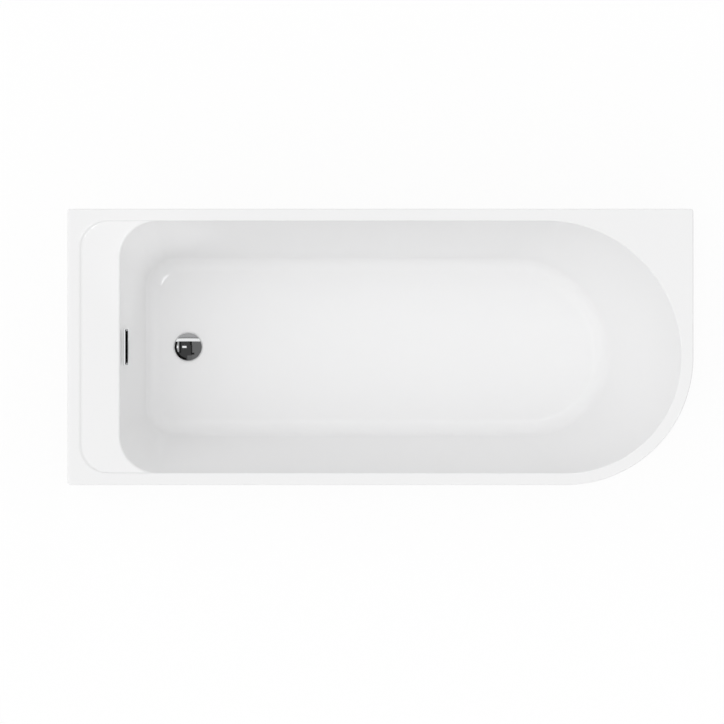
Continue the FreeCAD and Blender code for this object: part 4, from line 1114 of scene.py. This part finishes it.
@dataclass
class OverflowCap:
    """The slim bright cap over the overflow: a hollow box on the leaning wall, its slot in a sloped top."""

    spot: WallSpot
    length: float = 0.101
    height: float = 0.015
    depth: float = 0.0126
    wall: float = 0.0013
    corner: float = 0.0035
    edge_radius: float = 0.0012
    least_bend: float = 0.0003
    slot_length: float = 0.086
    slot_back: float = 0.0041
    seal: float = 0.0004
    seal_inset: float = 0.0003
    top_slope: float = math.radians(32)
    boss_radius: float = 0.004
    boss_hole: float = OVERFLOW_SCREW_HOLE
    boss_spacing: float = OVERFLOW_SCREW_SPACING
    boss_hole_depth: float = 0.0100
    slot_stations: int = 24
    corner_steps: int = 8
    end_steps: int = 4
    slope_steps: int = 6
    edge_steps: int = 5
    boss_sides: int = 32

    @property
    def inside(self) -> float:
        """How far out of the wall the hollow reaches."""
        return self.depth - self.wall

    def top(self, out: float) -> float:
        """How high the cap's top stands at a distance out of the wall."""
        return self.height / 2 - min(out, self.slot_back) * math.tan(self.top_slope)

    def outline(self, out: float, inset: float, top: float) -> list[Vector]:
        """Draws the cap's outline.

        Args:
            out: distance out of the wall.
            inset: how far the outline is drawn in.
            top: how high the cap's top stands there, before the inset.

        Returns:
            A rounded oblong, which starts at the slot's end on the top.
        """
        half, low, high = self.length / 2 - inset, inset - self.height / 2, top - inset
        bend = max(self.corner - inset, self.least_bend)
        flat, slot = half - bend, self.slot_length / 2
        plan = line((slot, high), (-slot, high), self.slot_stations)
        plan += line((-slot, high), (-flat, high), self.end_steps)
        plan += arc((-flat, high - bend), bend, 90, self.corner_steps)
        plan += line((-half, high - bend), (-half, low + bend), self.end_steps)
        plan += arc((-flat, low + bend), bend, 180, self.corner_steps)
        plan += line((-flat, low), (flat, low), self.slot_stations)
        plan += arc((flat, low + bend), bend, 270, self.corner_steps)
        plan += line((half, low + bend), (half, high - bend), self.end_steps)
        plan += arc((flat, high - bend), bend, 0, self.corner_steps)
        plan += line((flat, high), (slot, high), self.end_steps)
        return [self.spot.place(out, along, up) for along, up in plan]

    def skin(self, shaper: Shaper, rings: Sequence[Sequence[Vector]]) -> list[Ring]:
        """Joins rings into a skin, leaves the slot open and closes the far end.

        Args:
            shaper: the mesh.
            rings: the skin's rings, out of the wall.

        Returns:
            The rings' corners.
        """
        made = [shaper.ring(points) for points in rings]
        for band, (first, second) in enumerate(zip(made, made[1:])):
            shaper.join(first, second, self.slot_stations if band == self.slope_steps else 0)
        shaper.cap(made[-1])
        return made

    def edge_rings(self) -> list[list[Vector]]:
        """Draws the rounded edge of the cap's face.

        Returns:
            Its rings, out of the wall.
        """
        made, radius = [], self.edge_radius
        for angle in quarter_turn(self.edge_steps)[1:]:
            out = self.depth - radius * (1 - math.sin(angle))
            inset = radius * (1 - math.cos(angle))
            made.append(self.outline(max(out, self.inside + TINY), inset, self.top(out)))
        return made

    def bosses(self, shaper: Shaper) -> None:
        """Adds the two bosses inside that take the screws.

        Args:
            shaper: the mesh.
        """
        rims = ((self.boss_hole, self.boss_hole_depth), (self.boss_hole, 0.0), (self.boss_radius, 0.0),
                (self.boss_radius, self.inside))
        for middle in (-self.boss_spacing / 2, self.boss_spacing / 2):
            rings = []
            for radius, out in rims:
                plan = [(middle + radius * math.cos(angle), radius * math.sin(angle))
                        for angle in full_turn(self.boss_sides)]
                rings.append([self.spot.place(out, along, up) for along, up in plan])
            shaper.solid(rings)

    def seal_line(self, shaper: Shaper) -> None:
        """Adds the seal between the cap and the wall; its painted-shade black shows as a thin shadow line there.

        Args:
            shaper: the mesh.
        """
        rims = ((0.0, self.seal_inset), (self.seal, self.seal_inset),
                (self.seal, self.wall), (0.0, self.wall))
        rings = [shaper.ring(self.outline(out, inset, self.top(out))) for out, inset in rims]
        for first, second in zip(rings, (*rings[1:], rings[0])):
            shaper.join(first, second)

    def slot_sides(self, shaper: Shaper, outside: Sequence[Ring], lining: Sequence[Ring]) -> None:
        """Joins the slot's edges outside and inside.

        Args:
            shaper: the mesh.
            outside: rings of the bright skin.
            lining: rings of the inner skin, in painted-shade black.
        """
        first, last, count = self.slope_steps, self.slope_steps + 1, self.slot_stations
        edges = [(ring, i, ring, i + 1) for ring in (first, last) for i in range(count)]
        edges += [(first, i, last, i) for i in (0, count)]
        for ring, i, other, j in edges:
            shaper.mesh.faces.new((outside[ring][i], outside[other][j], lining[other][j], lining[ring][i]))

    def build(self, materials: Materials) -> bpy.types.Object:
        """Makes the cap's mesh, bright outside and painted-shade black inside, and dresses it.

        Args:
            materials: the finishes, by slot.

        Returns:
            The cap.
        """
        shaper = Shaper()
        run = (self.slot_back - self.seal) / self.slope_steps
        stops = [self.seal + run * step for step in range(self.slope_steps + 1)] + [self.inside]
        bright = [self.outline(out, 0.0, self.top(out)) for out in stops]
        outside = self.skin(shaper, bright + self.edge_rings())
        plated = len(shaper.mesh.faces)
        lining = self.skin(shaper, [self.outline(out, self.wall, self.top(out)) for out in stops])
        self.bosses(shaper)
        self.seal_line(shaper)
        lined = len(shaper.mesh.faces)
        shaper.join(outside[0], lining[0])
        self.slot_sides(shaper, outside, lining)
        shaper.mesh.faces.ensure_lookup_table()
        # The inside, the bosses and the seal take the second finish: painted shade, a near-black that makes them
        # look as dark as deep shade.
        for face in shaper.mesh.faces[plated:lined]:
            face.material_index = 1
        piece = settle(shaper.finish("overflow_cap"), "bath", Slot.CHROME, materials, "overflow_cover")
        piece.data.materials.append(PAINTED_SHADE_LINING.material())
        return piece


@dataclass
class RoundTube:
    """A tube along a run of points, with a radius at each of them."""

    run: Sequence[Vector]
    radii: Sequence[float]
    steady: Vector
    sides: int

    def rings(self) -> list[list[Vector]]:
        """Draws the tube.

        Returns:
            A ring square to the run at each of its points.
        """
        made = []
        last = len(self.run) - 1
        for i, (middle, radius) in enumerate(zip(self.run, self.radii)):
            way = (self.run[min(i + 1, last)] - self.run[max(i - 1, 0)]).normalized()
            first = self.steady.cross(way).normalized()
            second = way.cross(first)
            made.append([middle + (first * math.cos(angle) + second * math.sin(angle)) * radius
                         for angle in full_turn(self.sides)])
        return made


@dataclass
class ClickCoil:
    """The spring under the plug's stem, which stretches as the plug lifts."""

    low: Vector
    high: Vector
    wire: float = 0.0009
    turns: int = 6
    steps: int = 56
    sides: int = 12

    def run(self) -> list[Vector]:
        """Draws the coil's wire.

        Returns:
            Points along its middle.
        """
        middle = (self.low + self.high) / 2
        radius = (self.high.x - self.low.x - self.wire) / 2
        first, rise = self.low.z + self.wire / 2, self.high.z - self.low.z - self.wire
        made = []
        for step in range(self.turns * self.steps + 1):
            angle = 2 * math.pi * step / self.steps
            height = first + rise * step / (self.turns * self.steps)
            made.append(round_point((middle.x, middle.y), radius, angle, height))
        return made

    def build(self, materials: Materials) -> bpy.types.Object:
        """Makes the coil's mesh between the bath and the plug, and dresses it.

        Args:
            materials: the finishes, by slot.

        Returns:
            The coil.
        """
        shaper, run = Shaper(), self.run()
        shaper.solid(RoundTube(run, [self.wire / 2] * len(run), Vector((0, 0, 1)), self.sides).rings())
        piece = shaper.finish("click_coil")
        piece.data.materials.append(materials[Slot.SPRING])
        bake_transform(piece)
        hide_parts("click_spring")
        LOG.info("%s: %d faces, between bath and plug", piece.name, len(piece.data.polygons))
        return piece


@dataclass
class RibbedHose:
    """The overflow's flexible hose: plain cuffs, and round ribs along one smooth bend between them."""

    spot: WallSpot
    waste_x: float
    spigot_back: float = 0.030
    start_down: float = 0.0185
    end_back: float = 0.046
    port_level: float = 0.136
    bend_radius: float = 0.064
    cuff: float = 0.030
    cuff_radius: float = 0.016
    root: float = 0.0150
    crest: float = 0.0170
    bore: float = 0.0140
    pitch: float = 0.005
    rib_steps: int = 8
    sides: int = 40
    spline_order: int = 3
    spline_steps: int = 24

    def route(self) -> list[Vector]:
        """Lays the hose down behind the wall, round the bend and level to the waste.

        Returns:
            The spline's control points.
        """
        lean, level = self.spot.lean, Vector((1, 0, 0))
        down = Vector((math.sin(lean), 0, -math.cos(lean)))
        start = self.spot.place(-self.spigot_back, 0.0, -self.start_down)
        end = Vector((self.waste_x - self.end_back, 0, self.port_level))
        corner = start + down * ((start.z - end.z) / math.cos(lean))
        sweep = math.pi / 2 - lean
        cutback = self.bend_radius * math.tan(sweep / 2)
        half = self.bend_radius * math.tan(sweep / 4)
        bend_start, bend_end = corner - down * cutback, corner + level * cutback
        upper = bend_start - down * half
        return [start, start.lerp(upper, 0.5), upper, bend_start + down * half,
                bend_end - level * half, bend_end + level * half, end]

    def centre_line(self) -> list[Vector]:
        """Draws the smooth spline.

        Returns:
            Evenly spaced points along it, a whole number to each rib.
        """
        curve = bpy.data.curves.new("hose_route", "CURVE")
        curve.dimensions = "3D"
        spline = curve.splines.new("NURBS")
        route = self.route()
        spline.points.add(len(route) - 1)
        for point, place in zip(spline.points, route):
            point.co = (*place, 1.0)
        spline.order_u = self.spline_order
        spline.use_endpoint_u = True
        spline.resolution_u = self.spline_steps
        holder = bpy.data.objects.new("hose_route", curve)
        bpy.context.scene.collection.objects.link(holder)
        mesh = shape_of(holder)
        points = [vertex.co.copy() for vertex in mesh.vertices]
        bpy.data.objects.remove(holder)
        bpy.data.curves.remove(curve)
        bpy.data.meshes.remove(mesh)
        length = sum((second - first).length for first, second in zip(points, points[1:]))
        return respace(points, round(length / self.pitch) * self.rib_steps + 1)

    def rib(self, step: int) -> float:
        """Radius of the ribbed stretch at a point of the run."""
        wave = 0.5 - 0.5 * math.cos(2 * math.pi * step / self.rib_steps)
        return self.root + (self.crest - self.root) * wave

    def build(self, materials: Materials) -> bpy.types.Object:
        """Makes the hose's mesh, bore included, and dresses it.

        Args:
            materials: the finishes, by slot.

        Returns:
            The hose.
        """
        run = self.centre_line()
        spacing, last = (run[1] - run[0]).length, len(run) - 1
        plain = round(self.cuff / spacing / self.rib_steps) * self.rib_steps
        radii = [self.rib(i) if plain < i < last - plain else self.cuff_radius for i in range(last + 1)]
        inner = [run[0], *run[plain:last - plain:self.rib_steps], run[-1]]
        steady = Vector((0, 1, 0))
        shaper = Shaper()
        outer = RoundTube(run, radii, steady, self.sides)
        bore = RoundTube(inner, [self.bore] * len(inner), steady, self.sides)
        outer_start, outer_end = shaper.loft(outer.rings())
        bore_start, bore_end = shaper.loft(bore.rings())
        shaper.join(outer_start, bore_start)
        shaper.join(outer_end, bore_end)
        return settle(shaper.finish("ribbed_hose"), "bath", Slot.HOSE, materials, "overflow_hose")


@dataclass
class ScrewFoot:
    """One foot's threaded stud, with its collar in the pad and a hexagon for the spanner."""

    number: int
    centre: Point
    low: float
    high: float
    crest: float = 0.006
    root: float = 0.0053
    pitch: float = 0.00175
    collar_radius: float = 0.007
    collar_height: float = 0.008
    collar_chamfer: float = 0.0006
    hex_flats: float = 0.014
    hex_low: float = 0.040
    hex_height: float = 0.008
    hex_chamfer: float = 0.0009
    end_taper: float = 0.0016
    steps: int = 6
    sides: int = 36

    def thread_radius(self, z: float, turn: float) -> float:
        """Finds the thread's radius, which tapers in at the stud's tip.

        Args:
            z: height of a point.
            turn: its angle round the stud, as a share of a turn.

        Returns:
            The radius there.
        """
        wave = abs(2 * ((z / self.pitch - turn) % 1.0) - 1)
        taper = min(1.0, max(0.0, (self.high - z) / self.end_taper))
        return self.root + (self.crest - self.root) * wave * taper - (1 - taper) * (self.crest - self.root)

    def hex_ring(self, z: float, inset: float) -> list[Vector]:
        """Draws a six-sided ring.

        Args:
            z: the ring's level.
            inset: how far its corners are turned down.

        Returns:
            The ring, whose corners are cut back by the chamfer's cone.
        """
        limit = self.hex_flats / 2 / math.cos(math.pi / 6) - inset
        made = []
        for angle in full_turn(self.sides):
            flat = (angle + math.pi / 6) % (math.pi / 3) - math.pi / 6
            radius = min(self.hex_flats / 2 / math.cos(flat), limit)
            made.append(round_point(self.centre, radius, angle, z))
        return made

    def thread_rings(self, low: float, high: float) -> list[list[Vector]]:
        """Draws a stretch of screw thread.

        Args:
            low: where the thread starts.
            high: where it ends.

        Returns:
            Its rings.
        """
        count = max(2, round((high - low) / self.pitch * self.steps))
        made = []
        for ring in range(count + 1):
            z = low + (high - low) * ring / count
            turns = [step / self.sides for step in range(self.sides)]
            made.append([round_point(self.centre, self.thread_radius(z, turn), 2 * math.pi * turn, z)
                         for turn in turns])
        return made

    def build(self, materials: Materials) -> bpy.types.Object:
        """Makes the stud's mesh and dresses it.

        Args:
            materials: the finishes, by slot.

        Returns:
            The stud.
        """
        collar, chamfer = self.low + self.collar_height, self.collar_chamfer
        hex_top = self.hex_low + self.hex_height
        turned = [(self.collar_radius - chamfer, self.low), (self.collar_radius, self.low + chamfer),
                  (self.collar_radius, collar - chamfer), (self.collar_radius - chamfer, collar)]
        rings = [circle(radius, z, self.sides, self.centre) for radius, z in turned]
        rings += self.thread_rings(collar, self.hex_low)
        for z, inset in ((self.hex_low, self.hex_chamfer), (self.hex_low + self.hex_chamfer / 2, 0.0),
                         (hex_top - self.hex_chamfer / 2, 0.0), (hex_top, self.hex_chamfer)):
            rings.append(self.hex_ring(z, inset))
        rings += self.thread_rings(hex_top, self.high)
        shaper = Shaper()
        shaper.solid(rings)
        stud = shaper.finish(f"threaded_stud_{self.number}")
        return settle(stud, f"stud_{self.number}", Slot.ZINC, materials, f"foot_stud_{self.number}")


@dataclass
class Hardware:
    """The pieces whose CAD shape shows as it is, and needs only its finish."""

    cross_grain: tuple[str, ...] = ("rim_batten_end",)

    def dress(self, materials: Materials) -> None:
        """Gives every CAD node that shows the finish of its slot.

        Args:
            materials: the finishes, by slot.
        """
        across = CROSS_GRAIN.material()
        for row in frame["record"]["subparts"]:
            node = frame["nodes"][row["node"]]
            finish = across if row["node"] in self.cross_grain else materials[Slot(row["material_slot"])]
            node.data.materials.clear()
            node.data.materials.append(finish)
            LOG.info("%s: %s", row["node"], finish.name)


@dataclass(frozen=True)
class Pane:
    """A patch of the ceiling, by its slopes to the right and to the back, and its brightness."""

    left: float
    right: float
    front: float
    back: float
    level: float


@dataclass
class CeilingPattern:
    """What polished metal shows overhead: a dim ceiling, a long light strip, windows and a bright room."""

    tree: bpy.types.NodeTree
    ceiling: float = 0.055
    room_level: float = 0.92
    room_middle: float = 0.62
    room_soft: float = 0.26
    shade_start: float = 0.268
    shade_level: float = 0.004
    shade_way: float = math.radians(208)
    shade_share: float = 0.62
    soft: float = 0.007
    least_rise: float = 0.01
    overhead: float = 1.5
    # The panes lie over one another, the last on top.
    panes: tuple[Pane, ...] = (
        Pane(-CEILING_REACH, -0.210, -CEILING_REACH, -0.120, 0.03),
        Pane(-CEILING_REACH, -0.210, -0.120, 0.130, 0.40),
        Pane(0.085, CEILING_REACH, -CEILING_REACH, 0.130, 0.15),
        Pane(-0.02, 0.10, -CEILING_REACH, -0.20, 0.13),
        Pane(-0.213, -0.168, -0.140, 0.130, 0.012),
        Pane(0.042, 0.086, 0.040, 0.130, 0.012),
        Pane(0.062, 0.094, -0.150, 0.040, 0.02),
        Pane(0.066, 0.145, -0.180, -0.135, 0.012),
        Pane(-0.136, -0.039, -0.022, 0.022, 1.0),
        Pane(-0.292, -0.232, -0.030, 0.030, 1.0),
        Pane(-CEILING_REACH, CEILING_REACH, 0.199, CEILING_REACH, 0.40),
        Pane(-CEILING_REACH, CEILING_REACH, 0.199, 0.232, 0.27),
        Pane(-CEILING_REACH, CEILING_REACH, 0.130, 0.199, 0.93),
    )

    def work(self, way: str, first: Socket, second: Union[Socket, float] = 0.0) -> Socket:
        """Works out a sum.

        Args:
            way: the kind of sum.
            first: a value.
            second: another, as a socket or a number.

        Returns:
            The sum's result.
        """
        node = self.tree.nodes.new("ShaderNodeMath")
        node.operation = way
        self.tree.links.new(first, node.inputs[0])
        if isinstance(second, Socket):
            self.tree.links.new(second, node.inputs[1])
        else:
            node.inputs[1].default_value = second
        return node.outputs[0]

    def above(self, value: Socket, edge: float, soft: float) -> Socket:
        """Finds where a value lies above an edge.

        Args:
            value: the value.
            edge: the edge's middle.
            soft: how far the edge reaches to either side.

        Returns:
            One above the edge, and zero below it.
        """
        node = self.tree.nodes.new("ShaderNodeMapRange")
        node.interpolation_type = "SMOOTHSTEP"
        self.tree.links.new(value, node.inputs["Value"])
        node.inputs["From Min"].default_value = edge - soft
        node.inputs["From Max"].default_value = edge + soft
        return node.outputs["Result"]

    def between(self, value: Socket, low: float, high: float) -> Socket:
        """One where a value lies between two soft edges."""
        return self.work("SUBTRACT", self.above(value, low, self.soft), self.above(value, high, self.soft))

    def paint(self, under: Socket, where: Socket, level: float) -> Socket:
        """Changes the brightness of some directions.

        Args:
            under: the brightness so far.
            where: one where it changes.
            level: what it changes to.

        Returns:
            The new brightness.
        """
        mix = self.tree.nodes.new("ShaderNodeMix")
        self.tree.links.new(where, mix.inputs["Factor"])
        self.tree.links.new(under, mix.inputs["A"])
        mix.inputs["B"].default_value = level
        return mix.outputs["Result"]

    def direction(self) -> bpy.types.bpy_prop_collection:
        """Takes a direction apart.

        Returns:
            Its parts: X, Y and Z.
        """
        way = self.tree.nodes.new("ShaderNodeTexCoord").outputs["Generated"]
        parts = self.tree.nodes.new("ShaderNodeSeparateXYZ")
        self.tree.links.new(way, parts.inputs[0])
        return parts.outputs

    def sky(self, horizon: float) -> Socket:
        """Brightness of the soft light, which grows from the horizon and lights a level face by one."""
        up = self.work("MAXIMUM", self.direction()["Z"])
        return self.work("ADD", self.work("MULTIPLY", up, self.overhead * (1 - horizon)), horizon)

    def shade(self, u: Socket, v: Socket, tilt: Socket) -> Socket:
        """Finds a dark crescent low at the tap end.

        Args:
            u: slope to the right.
            v: slope to the back.
            tilt: slope away from overhead.

        Returns:
            One in the crescent, zero outside it.
        """
        facing = self.work("ADD", self.work("MULTIPLY", u, math.cos(self.shade_way)),
                           self.work("MULTIPLY", v, math.sin(self.shade_way)))
        inside = self.above(self.work("DIVIDE", facing, tilt), self.shade_share, self.soft)
        return self.work("MULTIPLY", inside, self.above(tilt, self.shade_start, self.soft))

    def build(self) -> Socket:
        """Paints the ceiling.

        Returns:
            The brightness overhead, by direction.
        """
        parts = self.direction()
        up = self.work("MAXIMUM", parts["Z"], self.least_rise)
        u, v = self.work("DIVIDE", parts["X"], up), self.work("DIVIDE", parts["Y"], up)
        tilt = self.work("SQRT", self.work("ADD", self.work("MULTIPLY", u, u), self.work("MULTIPLY", v, v)))
        level = self.tree.nodes.new("ShaderNodeValue").outputs[0]
        level.default_value = self.ceiling
        for pane in self.panes:
            across, along = self.between(u, pane.left, pane.right), self.between(v, pane.front, pane.back)
            level = self.paint(level, self.work("MULTIPLY", across, along), pane.level)
        level = self.paint(level, self.shade(u, v, tilt), self.shade_level)
        return self.paint(level, self.above(tilt, self.room_middle, self.room_soft), self.room_level)


def hang_lamp(data: bpy.types.Light, way: Triple, far: float,
              at: Triple = (0.0, 0.0, 0.0)) -> bpy.types.Object:
    """Hangs a lamp up.

    Args:
        data: the lamp.
        way: direction to it from the place that it shines at.
        far: how far away it hangs.
        at: the place that it shines at.

    Returns:
        The lamp's object.
    """
    holder = bpy.data.objects.new(data.name, data)
    towards = Vector(way).normalized()
    holder.location = Vector(at) + towards * far
    holder.rotation_euler = (-towards).to_track_quat("-Z", "Y").to_euler()
    bpy.context.scene.collection.objects.link(holder)
    return holder


def rays_seen(tree: bpy.types.NodeTree, names: Sequence[str]) -> Socket:
    """Finds rays of some kinds.

    Args:
        tree: a node tree.
        names: outputs of its Light Path, such as Is Camera Ray.

    Returns:
        One where any of them is one.
    """
    path = tree.nodes.new("ShaderNodeLightPath")
    found = path.outputs[names[0]]
    for name in names[1:]:
        either = tree.nodes.new("ShaderNodeMath")
        either.operation = "MAXIMUM"
        tree.links.new(found, either.inputs[0])
        tree.links.new(path.outputs[name], either.inputs[1])
        found = either.outputs[0]
    return found


def mix_shaders(tree: bpy.types.NodeTree, share: Socket, first: Socket, second: Socket) -> Socket:
    """Mixes two shaders.

    Args:
        tree: their node tree.
        share: how much of the second shows.
        first: a shader.
        second: another.

    Returns:
        The mixed shader.
    """
    mix = tree.nodes.new("ShaderNodeMixShader")
    for place, socket in enumerate((share, first, second)):
        tree.links.new(socket, mix.inputs[place])
    return mix.outputs[0]


def light_all_round(tree: bpy.types.NodeTree, strength: float, brightness: Optional[Socket] = None) -> Socket:
    """Adds a light from all round.

    Args:
        tree: the world's node tree.
        strength: the light's strength.
        brightness: its brightness by direction, or None for plain white.

    Returns:
        The light.
    """
    light = tree.nodes.new("ShaderNodeBackground")
    light.inputs["Color"].default_value = WHITE
    light.inputs["Strength"].default_value = strength
    if brightness is not None:
        tree.links.new(brightness, light.inputs["Color"])
    return light.outputs[0]


@dataclass(frozen=True)
class Window:
    """A light that shines in the tub's gloss: the way to it, its strength, and how wide it looks."""

    way: Triple
    strength: float
    spread: float = math.radians(7)


@dataclass
class Studio:
    """A white floor, soft light and a camera that looks straight down."""

    view_width: float = 1.966
    view_centre: Point = (-0.050, -0.041)
    camera_height: float = 5.0
    floor_half: float = 9.0
    floor_glow: float = 0.93
    floor_colour: Triple = (0.95, 0.95, 0.95)
    sky_strength: float = 0.845
    sky_horizon: float = 0.58
    lamp_from: Triple = (-1.15, -0.25, 2.0)
    lamp_far: float = 2.3
    lamp_spread: float = math.radians(70)
    lamp_strength: float = 0.62
    glow_from: Triple = (0.60, -0.60, 0.53)
    glow_at: Triple = (-0.665, 0.275, 0.42)
    glow_far: float = 3.0
    glow_spread: float = math.radians(9)
    glow_power: float = 32.0
    # The first shines in the floor's back corner, the second along its front, the rest at its round end.
    windows: tuple[Window, ...] = (
        Window((0.225, -0.190, 1.0), 0.55, math.radians(16)),
        Window((0.0, 0.40, 1.0), 0.035),
        Window((-0.060, 0.222, 1.0), 0.05),
        Window((-0.163, 0.163, 1.0), 0.075),
        Window((-0.222, 0.060, 1.0), 0.065),
        Window((-0.222, -0.060, 1.0), 0.058),
        Window((-0.163, -0.163, 1.0), 0.055),
    )

    def camera(self) -> None:
        """Sets up the camera over the bath."""
        data = bpy.data.cameras.new("camera")
        data.type = "ORTHO"
        data.ortho_scale = self.view_width
        holder = bpy.data.objects.new("camera", data)
        holder.location = (*self.view_centre, self.camera_height)
        bpy.context.scene.collection.objects.link(holder)
        bpy.context.scene.camera = holder

    def lamp(self) -> None:
        """Sets one broad soft light high over the tap end, which polished metal doesn't show."""
        data = bpy.data.lights.new("soft_lamp", "SUN")
        data.angle = self.lamp_spread
        data.energy = self.lamp_strength
        hang_lamp(data, self.lamp_from, self.lamp_far).visible_glossy = False

    def glow(self) -> None:
        """Lets a little soft light fall on the tub's wall in the back corner at the tap end."""
        data = bpy.data.lights.new("wall_glow", "SPOT")
        data.energy = self.glow_power
        data.spot_size = self.glow_spread
        data.spot_blend = 1.0
        hang_lamp(data, self.glow_from, self.glow_far, self.glow_at).visible_glossy = False

    def shine(self, tub: bpy.types.Object) -> None:
        """Sets the windows that shine in the tub's gloss, and in nothing else.

        Args:
            tub: the tub.
        """
        shown = bpy.data.collections.new("window_shows_in")
        shown.objects.link(tub)
        for window in self.windows:
            data = bpy.data.lights.new("window", "SUN")
            data.angle = window.spread
            data.energy = window.strength
            holder = hang_lamp(data, window.way, self.lamp_far)
            holder.visible_diffuse = False
            holder.light_linking.receiver_collection = shown

    def floor(self) -> None:
        """Lays the floor: white where it is seen, with a little of the bath's shadow left."""
        shaper, reach = Shaper(), self.floor_half
        corners = ((-reach, -reach), (reach, -reach), (reach, reach), (-reach, reach))
        shaper.cap(shaper.ring(lift(corners, 0.0)))
        floor = shaper.finish("floor")
        material = bpy.data.materials.new("floor")
        material.use_nodes = True
        tree = material.node_tree
        tree.nodes.clear()
        plain = tree.nodes.new("ShaderNodeBsdfDiffuse")
        plain.inputs["Color"].default_value = (*self.floor_colour, 1)
        white = tree.nodes.new("ShaderNodeEmission")
        share = tree.nodes.new("ShaderNodeMath")
        share.operation = "MULTIPLY"
        share.inputs[1].default_value = self.floor_glow
        rays = ("Is Camera Ray", "Is Glossy Ray", "Is Transmission Ray")
        tree.links.new(rays_seen(tree, rays), share.inputs[0])
        out = tree.nodes.new("ShaderNodeOutputMaterial")
        mixed = mix_shaders(tree, share.outputs[0], plain.outputs[0], white.outputs[0])
        tree.links.new(mixed, out.inputs["Surface"])
        floor.data.materials.append(material)

    def world(self) -> None:
        """Surrounds the bath with soft white light, and a ceiling that polished metal shows."""
        world = bpy.data.worlds.new("studio")
        bpy.context.scene.world = world
        world.use_nodes = True
        tree = world.node_tree
        tree.nodes.clear()
        ceiling = CeilingPattern(tree)
        shown = light_all_round(tree, self.sky_strength, ceiling.sky(self.sky_horizon))
        mirrored, plain = light_all_round(tree, 1.0, ceiling.build()), light_all_round(tree, 1.0)
        shown = mix_shaders(tree, rays_seen(tree, ("Is Glossy Ray",)), shown, mirrored)
        shown = mix_shaders(tree, rays_seen(tree, ("Is Camera Ray", "Is Transmission Ray")), shown, plain)
        out = tree.nodes.new("ShaderNodeOutputWorld")
        tree.links.new(shown, out.inputs["Surface"])

    def build(self, tub: bpy.types.Object) -> None:
        """Sets up the whole studio round the tub.

        Args:
            tub: the tub, which alone shows the windows.
        """
        bpy.context.scene.view_settings.view_transform = "Standard"
        self.camera()
        self.lamp()
        self.glow()
        self.shine(tub)
        self.floor()
        self.world()
        LOG.info("studio: floor, lamps, world and camera")


def foot_places() -> list[tuple[int, Point]]:
    """Each foot's number and its place in plan, from the record's joints."""
    turns = [joint for joint in frame["joints"] if joint["name"].endswith("_turn")]
    return [(int(joint["name"].split("_")[1]), tuple(joint["pos_m"][:2])) for joint in turns]


def main() -> None:
    """Builds the bath's pieces in order and sets up the studio."""
    logging.basicConfig(level=logging.INFO, format="%(name)s %(message)s")
    materials = {finish.slot: finish.material() for finish in FINISHES}
    Hardware().dress(materials)

    cap_low, cap_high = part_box("plug_cap")
    cap_middle = (cap_low + cap_high) / 2
    waste = (cap_middle.x, cap_middle.y)
    high = CAD_BOX[1]
    tub = TubShell(high.x, high.y, high.z, waste)
    shell = tub.build(materials)
    PlugDisc(waste, cap_low.z, cap_high.z, (cap_high.x - cap_low.x) / 2).build(materials)
    ClickCoil(*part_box("click_spring")).build(materials)

    spot = tub.overflow_spot()
    OverflowCap(spot).build(materials)
    RibbedHose(spot, waste[0]).build(materials)
    for number, place in foot_places():
        stud_low, stud_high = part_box(f"foot_stud_{number}")
        ScrewFoot(number, place, stud_low.z, stud_high.z).build(materials)
    Studio().build(shell)


if __name__ == "__main__":
    main()
